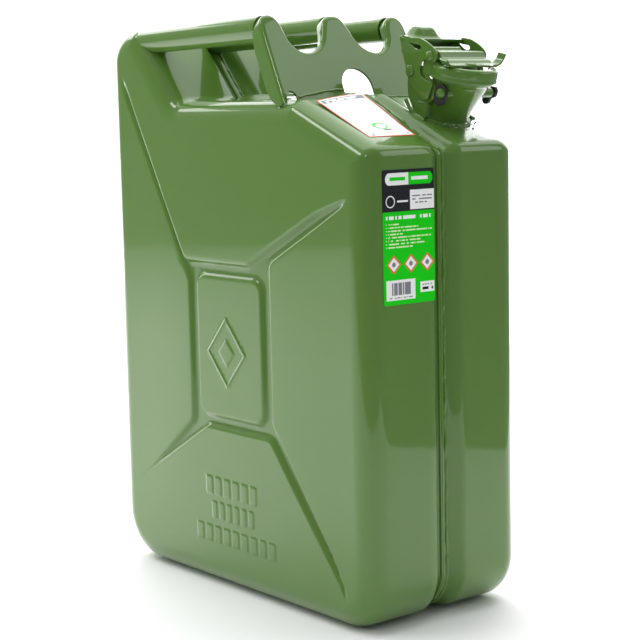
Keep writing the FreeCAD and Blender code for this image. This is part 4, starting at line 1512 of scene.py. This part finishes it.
@dataclass
class CamLever:
    """Two cheeks joined by an arched thumb web, with the cap's rivets."""

    mouth: MouthFrame
    inner: float = 25.1
    sheet: float = 1.8
    hinge: Flat = (-31.8, 0.7)
    pivot: Flat = (-11.4, 15.9)
    crown: float = 7.4
    web_front: float = -30.5
    web_length: float = 18.5
    web_height: float = 25.6
    hump_half: float = 15.5
    hump_slope: float = 9.0
    hump_shift: float = 8.0

    def cheek(self) -> Loop:
        """Outline of a cheek as (forward, up)."""
        return smooth_loop([
            (-49.6, 25.5), (-38.7, 24.2), (-33.0, 26.8), (-24.0, 27.4), (-14.0, 25.0), (-7.6, 22.0),
            (-4.6, 19.2), (-4.1, 15.6), (-5.8, 12.4), (-9.0, 11.3), (-12.5, 11.4), (-18.0, 12.4), (-21.0, 9.0),
            (-21.5, 3.0), (-19.0, -1.0), (-12.0, -3.4), (-7.5, -2.6), (-5.0, -4.4), (-7.0, -12.0), (-8.6, -18.2),
            (-14.0, -18.6), (-24.0, -13.5), (-33.5, -5.5), (-37.0, 1.0), (-43.0, 12.0)], 2.6, 4)

    def teardrop(self) -> Loop:
        """Drain hole in a cheek."""
        return smooth_loop([(-37.0, 21.8), (-29.5, 18.4), (-24.4, 18.2), (-22.6, 20.2), (-24.4, 22.0), (-30.0, 21.6)],
                           1.6, 4)

    def web(self) -> Solid:
        """Thumb web between the cheeks, flat at its front edge and humped towards its rear."""
        half = self.inner + self.sheet - 0.2
        long_cells, wide_cells = 16, 44
        web = Solid()
        row = wide_cells + 1
        for drop in (0.0, self.sheet):
            points = []
            for i in range(long_cells + 1):
                for j in range(row):
                    across = half * (2 * j / wide_cells - 1)
                    back = i / long_cells
                    bow = 2.2 * (1 - (across / half) ** 2) * (1 - back)
                    forward = self.web_front - bow * 0.6 - (self.web_length - 2.0 * abs(across / half) ** 3) * back
                    points.append(self.mouth.at(forward, across, self.web_top(across, back) - drop))
            web.add(points, [(i * row + j, (i + 1) * row + j, (i + 1) * row + j + 1, i * row + j + 1)
                             for i in range(long_cells) for j in range(wide_cells)])
        count = (long_cells + 1) * row
        rim = [*range(0, row), *range(2 * row - 1, count, row), *range(count - 2, count - row - 1, -1),
               *range(count - 2 * row, 0, -row)]
        for a, b in zip(rim, [*rim[1:], rim[0]]):
            web.faces.append((a, b, b + count, a + count))
        return web

    def web_top(self, across: float, back: float) -> float:
        """Height of the thumb web.

        Args:
            across: distance from its middle line.
            back: 0 at its front edge, 1 at its rear edge.

        Returns:
            Height over the mouth.
        """
        swell = float(ease(np.array((self.hump_half - abs(across + self.hump_shift)) / self.hump_slope)))
        rise = float(ease(np.array(back / 0.55)))
        drop = float(ease(np.array((back - 0.8) / 0.2)))
        return self.web_height + self.crown * swell * rise + 0.8 * back - 1.2 * drop

    def build(self, finish: bpy.types.Material) -> None:
        """Makes the lever and the rivets that it carries."""
        lever = Solid()
        holes = [round_hole(*self.hinge, 2.6), round_hole(*self.pivot, 2.25), self.teardrop()]
        for side in (-1, 1):
            low, high = sorted((side * self.inner, side * (self.inner + self.sheet)))
            lever.merge(plate(self.cheek(), holes, low, high, 0.55), self.mouth.standing)
        lever.merge(self.web())
        wall = smooth_loop([(-46.4, 13.0), (-44.8, 13.0), (-45.6, 24.8), (-47.2, 24.8)], 0.7)
        lever.merge(plate(wall, [], -self.inner - 0.4, self.inner + 0.4, 0.3), self.mouth.standing)
        dress(make_piece("lever_sheet", lever, 40.0), finish, Slot.ENAMEL, Body.LEVER, "cam_lever")
        rivets = Solid()
        outer = self.inner + self.sheet + 0.02
        for side in (-1, 1):
            shape = [(0.0, 21.0), (2.2, 21.0), (2.2, outer), (4.2, outer), (4.15, outer + 0.5), (3.6, outer + 1.2),
                     (2.2, outer + 1.7), (0.0, outer + 1.8)]
            rivets.merge(lathe([(r, side * h) for r, h in shape], 28), self.mouth.rod(*self.pivot))
        dress(make_piece("rivets", rivets, 35.0), finish, Slot.ENAMEL, Body.LEVER, "cap_rivets")


@dataclass
class Cap:
    """Pressed cap, its ridged bridge and its rubber ring."""

    mouth: MouthFrame
    radius: float = 26.5
    height: float = 11.0
    sheet: float = 1.7
    pivot: Flat = (-11.4, 15.9)

    def pan(self) -> Solid:
        """Cap turned down over the mouth, dished on top."""
        r, h, t = self.radius, self.height, self.sheet
        profile: Loop = [(0.0, h - 1.2), (17.5, h - 1.2), (19.3, h - 0.9), (20.6, h - 0.2)]
        for turn in range(80, -1, -10):
            angle = math.radians(turn)
            profile.append((r - 3.6 + 3.6 * math.cos(angle), h - 3.6 + 3.6 * math.sin(angle)))
        profile += [(r, 5.0), (r - 0.25, 3.4), (r - 0.3, 2.2), (r, 1.2), (r, 0.5), (r - 0.35, 0.05), (r - 0.9, 0.0)]
        profile += [(r - t + 0.2, 0.15), (r - t, 0.6), (r - t, h - 4.6), (r - t - 2.4, h - 2.9), (0.0, h - 2.9)]
        return Solid().merge(lathe(profile, 72), self.mouth.lying)

    def sheet_strip(self, path: Sequence[Flat], thickness: float, y0: float, y1: float) -> Solid:
        """Folded strip.

        Args:
            path: upper side as (forward, up).
            thickness: of the sheet.
            y0: one end across the can.
            y1: other end.

        Returns:
            The strip with rounded rims.
        """
        upper = flowing(path, 5)
        lower = []
        for i, here in enumerate(upper):
            before = Vector(upper[max(i - 1, 0)])
            after = Vector(upper[min(i + 1, len(upper) - 1)])
            along = (after - before).normalized()
            lower.append((here[0] + along.y * thickness, here[1] - along.x * thickness))
        return plate([tuple(p) for p in upper] + lower[::-1], [], y0, y1, 0.4)

    def bridge(self) -> Solid:
        """Ridged bridge: two ridges, a tray with turned-up ends and two pivot lugs."""
        solid = Solid()
        rear = [(-23.4, 16.8), (-23.0, 19.6), (-21.4, 21.3), (-19.2, 21.3), (-17.4, 19.8), (-15.4, 18.6), (-13.0, 18.3)]
        front = [(-14.4, 17.9), (-12.6, 18.6), (-10.6, 19.9), (-8.2, 20.6), (-5.8, 20.2), (-4.2, 18.8), (-3.2, 17.2),
                 (-1.6, 16.2), (1.0, 15.6), (3.2, 14.9), (5.0, 13.6), (7.4, 12.9), (11.4, 12.7)]
        solid.merge(self.sheet_strip(rear, 1.5, -23.4, 11.5), self.mouth.standing)
        solid.merge(self.sheet_strip(front, 1.5, -23.4, 24.4), self.mouth.standing)
        for side, tip in ((-1, 0.72), (1, 1.0)):
            lug = smooth_loop(
                [(-15.8, 12.0), (-6.8, 12.0), (-4.6, 15.6), (-6.6, 19.0), (-11.0, 20.2), (-15.8, 18.4)], 2.0)
            low, high = sorted((side * 21.8, side * 24.8))
            solid.merge(plate(lug, [round_hole(*self.pivot, 2.3)], low, high), self.mouth.standing)
            wing = [(21.2, 12.8), (24.0, 12.9), (27.0, 14.2), (29.2, 16.9), (30.4, 19.6 * tip + 5.6 * (1 - tip))]
            if tip == 1.0:
                wing.append((31.2, 21.4))
            strip = self.sheet_strip(wing, 1.5, 3.2, 11.4)
            solid.merge(strip, lambda p, side=side: self.mouth.at(p[2], side * p[0], p[1] + 0.2))
        boss = lathe([(0.0, 9.4), (5.4, 9.4), (5.4, 13.2), (4.8, 13.9), (0.0, 14.0)], 28)
        solid.merge(boss, lambda p: self.mouth.at(p[0] + 6.0, p[1], p[2] - 0.4))
        return solid

    def ear(self) -> Solid:
        """Pressed lug low on each side of the cap, in the notch of the cheek."""
        solid = Solid()
        for side in (-1, 1):
            outline = smooth_loop([(-18.6, 0.6), (-2.0, 0.2), (1.6, 3.0), (1.0, 8.6), (-4.0, 11.4), (-9.0, 14.4),
                                   (-19.5, 14.6), (-21.6, 9.0)], 2.0)
            low, high = sorted((side * 17.5, side * 24.7))
            solid.merge(plate(outline, [], low, high, 1.1), self.mouth.standing)
        return solid

    def build(self, enamel: bpy.types.Material, rubber: bpy.types.Material) -> None:
        """Makes the cap, its bridge and its ring."""
        pan = self.pan().merge(self.ear())
        dress(make_piece("cap_sheet", pan, 45.0), enamel, Slot.ENAMEL, Body.CAP, "cap_pan")
        dress(make_piece("cap_saddle", self.bridge(), 40.0), enamel, Slot.ENAMEL, Body.CAP, "cap_bridge")
        outer = self.radius - self.sheet - 0.1
        profile: Loop = [(15.0, 2.2), (15.6, 1.5), (18.0, 1.38), (outer - 1.0, 1.38), (outer, 2.2), (outer, 8.0),
                         (15.0, 8.0), (15.0, 2.2)]
        ring = Solid().merge(lathe(profile, 64), self.mouth.lying)
        dress(make_piece("sealing_ring", ring, 35.0), rubber, Slot.RUBBER, Body.CAP, "cap_gasket")


# ---------------------------------------------------------------- labels

@dataclass
class Labels:
    """The front label and the shoulder label, printed with plain shapes only."""

    profile: CanProfile = field(default_factory=CanProfile)
    inks: FilmInks = field(default_factory=FilmInks)
    front_y: Flat = (-62.5, -11.5)
    front_z: Flat = (251.5, 351.5)
    top_x: Flat = (91.0, 152.9)
    top_y: Flat = (-57.0, -11.0)
    film: float = 0.18

    def span(self, axis: int, limits: Flat, flip: bool = False) -> Callable[[NodeSheet], Signal]:
        """Value that runs 0 to 1 between two limits on one axis of the can."""
        def value(sheet: NodeSheet) -> Signal:
            along = (sheet.place()[axis] - limits[0]) * (1 / (limits[1] - limits[0]))
            return 1 - along if flip else along
        return value

    def front_film(self) -> bpy.types.Material:
        """Film of the front label."""
        inks = self.inks
        film = Film("printed_film_front", self.span(1, self.front_y), self.span(2, self.front_z))
        film.colour = inks.green
        film.print(film.box(-1, 2, 0.69, 2), inks.black)
        pill = film.box(0.13, 0.90, 0.885, 0.975)
        pill = pill.either(film.oval(0.13, 0.93, 0.075, 0.045)).either(film.oval(0.90, 0.93, 0.075, 0.045))
        film.print(pill, inks.green)
        film.print(pill * (film.u < 0.5), inks.white)
        film.print(film.box(0.14, 0.44, 0.918, 0.944), inks.green)
        film.print(film.box(0.56, 0.88, 0.918, 0.944), inks.white)
        film.print(film.box(0.53, 2, 0.70, 0.845), inks.white)
        for k, v in enumerate((0.80, 0.775, 0.75)):
            film.print(film.dashes(0.57 + 0.06 * (k == 2), 0.96 - 0.1 * (k == 2), v, 0.010, 0.022, 3.0 + k), inks.grey)
        film.print(film.oval(0.15, 0.765, 0.088, 0.045), inks.white)
        film.print(film.oval(0.15, 0.765, 0.072, 0.037), inks.black)
        film.print(film.box(0.28, 0.49, 0.758, 0.772), inks.white)
        film.print(film.dashes(0.06, 0.95, 0.646, 0.026, 0.030, 9.0), inks.white)
        lengths = (0.34, 0.68, 0.97, 0.38, 0.93, 0.74, 0.80, 0.57)
        for k, end in enumerate(lengths):
            v = 0.598 - 0.0243 * k
            words = film.dashes(0.10, end, v, 0.0105, 0.019, 20.0 + k)
            bullet = film.box(0.06, 0.075, v - 0.004, v + 0.004)
            film.print(words.either(bullet), inks.cream)
        for u in (0.20, 0.53, 0.85):
            film.print(film.lozenge(u, 0.30, 0.140, 0.071), inks.orange)
            film.print(film.lozenge(u, 0.30, 0.108, 0.055), inks.white)
            film.print(film.oval(u, 0.30, 0.035, 0.018), inks.grey)
        film.print(film.box(0.05, 0.61, 0.035, 0.185), inks.white)
        film.print(film.dashes(0.15, 0.52, 0.118, 0.092, 0.014, 51.0), inks.grey)
        film.print(film.dashes(0.10, 0.56, 0.052, 0.008, 0.016, 57.0), inks.grey)
        film.print(film.box(0.71, 0.985, 0.075, 0.155), inks.white)
        film.print(film.dashes(0.75, 0.94, 0.132, 0.009, 0.016, 63.0), inks.grey)
        film.print(film.dashes(0.74, 0.96, 0.103, 0.020, 0.030, 67.0), inks.black)
        return film.build()

    def top_film(self) -> bpy.types.Material:
        """Film of the shoulder label."""
        inks = self.inks
        film = Film("printed_film_top", self.span(1, self.top_y), self.span(0, self.top_x, True))
        film.colour = inks.orange
        film.print(film.box(0.025, 0.975, 0.015, 0.985), inks.white)
        film.print(film.box(0.05, 0.95, 0.885, 0.965), inks.grey)
        film.print(film.dashes(0.12, 0.80, 0.938, 0.020, 0.030, 5.0), inks.white)
        film.print(film.dashes(0.12, 0.80, 0.908, 0.020, 0.030, 8.0), inks.white)
        film.print(film.oval(0.52, 0.255, 0.150, 0.080), inks.green)
        film.print(film.oval(0.53, 0.250, 0.105, 0.056), inks.white)
        film.print(film.box(0.50, 0.66, 0.150, 0.175), inks.black)
        film.print(film.oval(0.14, 0.045, 0.04, 0.018), inks.black)
        film.print(film.box(0.80, 0.84, 0.83, 0.845), inks.black)
        film.print(film.oval(0.90, 0.06, 0.022, 0.012), inks.green)
        return film.build()

    def build(self) -> None:
        """Makes both labels."""
        y0, y1 = self.front_y
        z0, z1 = self.front_z
        outline = smooth_loop([(y0, z0), (y1, z0), (y1, z1), (y0, z1)], 2.0, 6)
        front = Solid().merge(plate(outline, [], 0.0, self.film, 0.05, 1),
                              lambda p: (self.profile.half_length + 0.03 + p[2], p[0], p[1]))
        dress(make_piece("label_front", front, 40.0), self.front_film(), Slot.FILM, Body.CAN, "front_label")
        dress(make_piece("label_top", self.draped(), 40.0), self.top_film(), Slot.FILM, Body.CAN, "shoulder_label")

    def draped(self) -> Solid:
        """Shoulder label as a thin sheet that follows the crowned shoulder."""
        x0, x1 = self.top_x
        y0, y1 = self.top_y
        normal = self.profile.shoulder_normal()
        cells = 24
        sheet = Solid()
        for out in (0.05 + self.film, 0.05):
            points = []
            for i in range(cells + 1):
                for j in range(cells + 1):
                    x, y = x0 + (x1 - x0) * i / cells, y0 + (y1 - y0) * j / cells
                    points.append((x + normal.x * out, y, self.profile.top_height(x, y) + normal.z * out))
            row = cells + 1
            sheet.add(points, [(i * row + j, (i + 1) * row + j, (i + 1) * row + j + 1, i * row + j + 1)
                               for i in range(cells) for j in range(cells)])
        count = (cells + 1) ** 2
        row = cells + 1
        rim = [*range(0, row), *range(2 * row - 1, count, row), *range(count - 2, count - row - 1, -1),
               *range(count - 2 * row, 0, -row)]
        for a, b in zip(rim, [*rim[1:], rim[0]]):
            sheet.faces.append((a, b, b + count, a + count))
        return sheet


# ---------------------------------------------------------------- stage, lights and camera

@dataclass
class Studio:
    """Pale floor and wall, soft boxes and the camera."""

    azimuth: float = 51.319
    elevation: float = 7.599
    roll: float = -1.251
    distance: float = 1407.637
    shift: Flat = (12.064, -15.132)
    lens: float = 94.288

    def axes(self) -> tuple[Vector, Vector, Vector]:
        """Right, up and back directions of the camera."""
        a, e, r = (math.radians(v) for v in (self.azimuth, self.elevation, self.roll))
        back = Vector((math.sin(a) * math.cos(e), -math.cos(a) * math.cos(e), math.sin(e)))
        right = Vector((math.cos(a), math.sin(a), 0))
        up = back.cross(right)
        return right * math.cos(r) + up * math.sin(r), up * math.cos(r) - right * math.sin(r), back

    def camera(self) -> None:
        """Makes the camera and gives it to the scene."""
        right, up, back = self.axes()
        data = bpy.data.cameras.new("camera")
        data.lens = self.lens
        data.sensor_width = 36.0
        data.clip_start = 0.05
        data.clip_end = 60.0
        camera = bpy.data.objects.new("camera", data)
        bpy.context.scene.collection.objects.link(camera)
        place = Vector((0, 0, 235.0)) + right * self.shift[0] + up * self.shift[1] + back * self.distance
        camera.matrix_world = Matrix.Translation(place * MM) @ Matrix((right, up, back)).transposed().to_4x4()
        bpy.context.scene.camera = camera

    def lamp(self, name: str, place: Spot, target: Spot, size: Flat, power: float, mirrored: bool) -> None:
        """Adds one soft box.

        Args:
            name: light name.
            place: its middle, in metres.
            target: point that it faces, in metres.
            size: width and height in metres.
            power: watts.
            mirrored: True lets it show in glossy paint.
        """
        data = bpy.data.lights.new(name, "AREA")
        data.shape = "RECTANGLE"
        data.size, data.size_y = size
        data.energy = power
        light = bpy.data.objects.new(name, data)
        bpy.context.scene.collection.objects.link(light)
        light.visible_glossy = mirrored
        light.location = place
        light.rotation_euler = (Vector(target) - Vector(place)).to_track_quat("-Z", "Y").to_euler()

    def sweep(self) -> None:
        """Pale floor that sweeps up into a wall behind the can."""
        right, _, back = self.axes()
        away = Vector((-back.x, -back.y, 0)).normalized()
        across = Vector((right.x, right.y, 0)).normalized()
        path = [(-0.95, 0.0), (0.0, 0.0), (0.9, 0.0), (1.2, 0.0), (1.5, 0.0), (1.8, 0.0), (2.1, 0.0), (2.6, 0.0)]
        turns = [math.pi / 2 * k / 12 for k in range(1, 13)]
        path += [(2.6 + 1.2 * math.sin(turn), 1.2 - 1.2 * math.cos(turn)) for turn in turns]
        path += [(3.8, 3.4)]
        points = [tuple(away * d + across * w + Vector((0, 0, h - 0.0004)))
                  for d, h in path for w in (-3.2, 0.74 + 0.85 * float(ease(np.array((d - 0.9) / 1.4))))]
        faces = [(2 * i, 2 * i + 1, 2 * i + 3, 2 * i + 2) for i in range(len(path) - 1)]
        mesh = bpy.data.meshes.new("sweep")
        mesh.from_pydata(points, [], faces)
        mesh.shade_smooth()
        sweep = bpy.data.objects.new("sweep", mesh)
        bpy.context.scene.collection.objects.link(sweep)
        sheet = NodeSheet("pale_floor")
        tone = sheet.noise(3.0, 2.0)
        material = sheet.finish({"Base Color": sheet.mix(tone, (0.90, 0.90, 0.90), (0.93, 0.93, 0.93)),
                                 "Roughness": 0.75, "Specular IOR Level": 0.2})
        mesh.materials.append(material)

    def world(self) -> None:
        """Even pale surroundings."""
        world = bpy.data.worlds.new("surroundings")
        world.use_nodes = True
        shader = world.node_tree.nodes["Background"]
        shader.inputs["Color"].default_value = (0.95, 0.98, 1.0, 1.0)
        shader.inputs["Strength"].default_value = 0.34
        bpy.context.scene.world = world
        bpy.context.scene.view_settings.view_transform = "Standard"

    def build(self) -> None:
        """Makes the stage, the lights and the camera."""
        self.camera()
        self.sweep()
        self.world()
        self.lamp("overhead", (-0.2, -0.1, 2.3), (0.0, 0.0, 0.2), (2.6, 2.6), 32.0, False)
        self.lamp("rear_roof", (-0.8, 1.0, 1.9), (0.0, 0.0, 0.4), (3.2, 3.2), 46.0, True)
        self.lamp("left_wall", (-2.3, -0.1, 0.9), (0.0, 0.0, 0.4), (1.1, 1.9), 22.0, True)
        self.lamp("side", (-1.9, -2.3, 1.3), (0.0, 0.0, 0.25), (1.8, 1.8), 18.0, False)
        self.lamp("wall_wash", (-1.5, 1.9, 2.6), (-2.6, 2.2, 0.4), (3.0, 1.2), 110.0, False)
        self.lamp("front_box", (1.9, 1.9, 1.9), (0.05, 0.0, 0.43), (1.3, 1.3), 9.0, True)
        self.lamp("spark", (1.3, -1.5, 1.9), (0.15, 0.0, 0.35), (0.22, 0.22), 4.0, True)
        self.lamp("strip", (-0.6, -0.9, 1.8), (0.0, 0.0, 0.4), (0.9, 0.25), 5.0, True)


# ---------------------------------------------------------------- assembly


def main() -> None:
    """Builds the can piece by piece."""
    logging.basicConfig(level=logging.INFO, format="%(name)s %(message)s")
    Studio().build()
    enamel = GreenEnamel().build()
    plastic = MouldedPlastic().build()
    rubber = MouldedPlastic(Slot.RUBBER.value, (0.014, 0.014, 0.014), 0.62, 900.0).build()
    beads = BeadTree("weld_bead", enamel)
    spatter = SpatterTree(enamel)
    for side in Side:
        PressedHalf(side).build(enamel)
    Seam(beads=beads).build(enamel)
    Handle(beads=beads).build(enamel)
    mouth = MouthFrame()
    Neck(mouth, beads=beads, spatter=spatter).build(enamel)
    HingeBracket(mouth, beads=beads).build(enamel, plastic)
    CamLever(mouth).build(enamel)
    Cap(mouth).build(enamel, rubber)
    Labels().build()


if __name__ == "__main__":
    main()
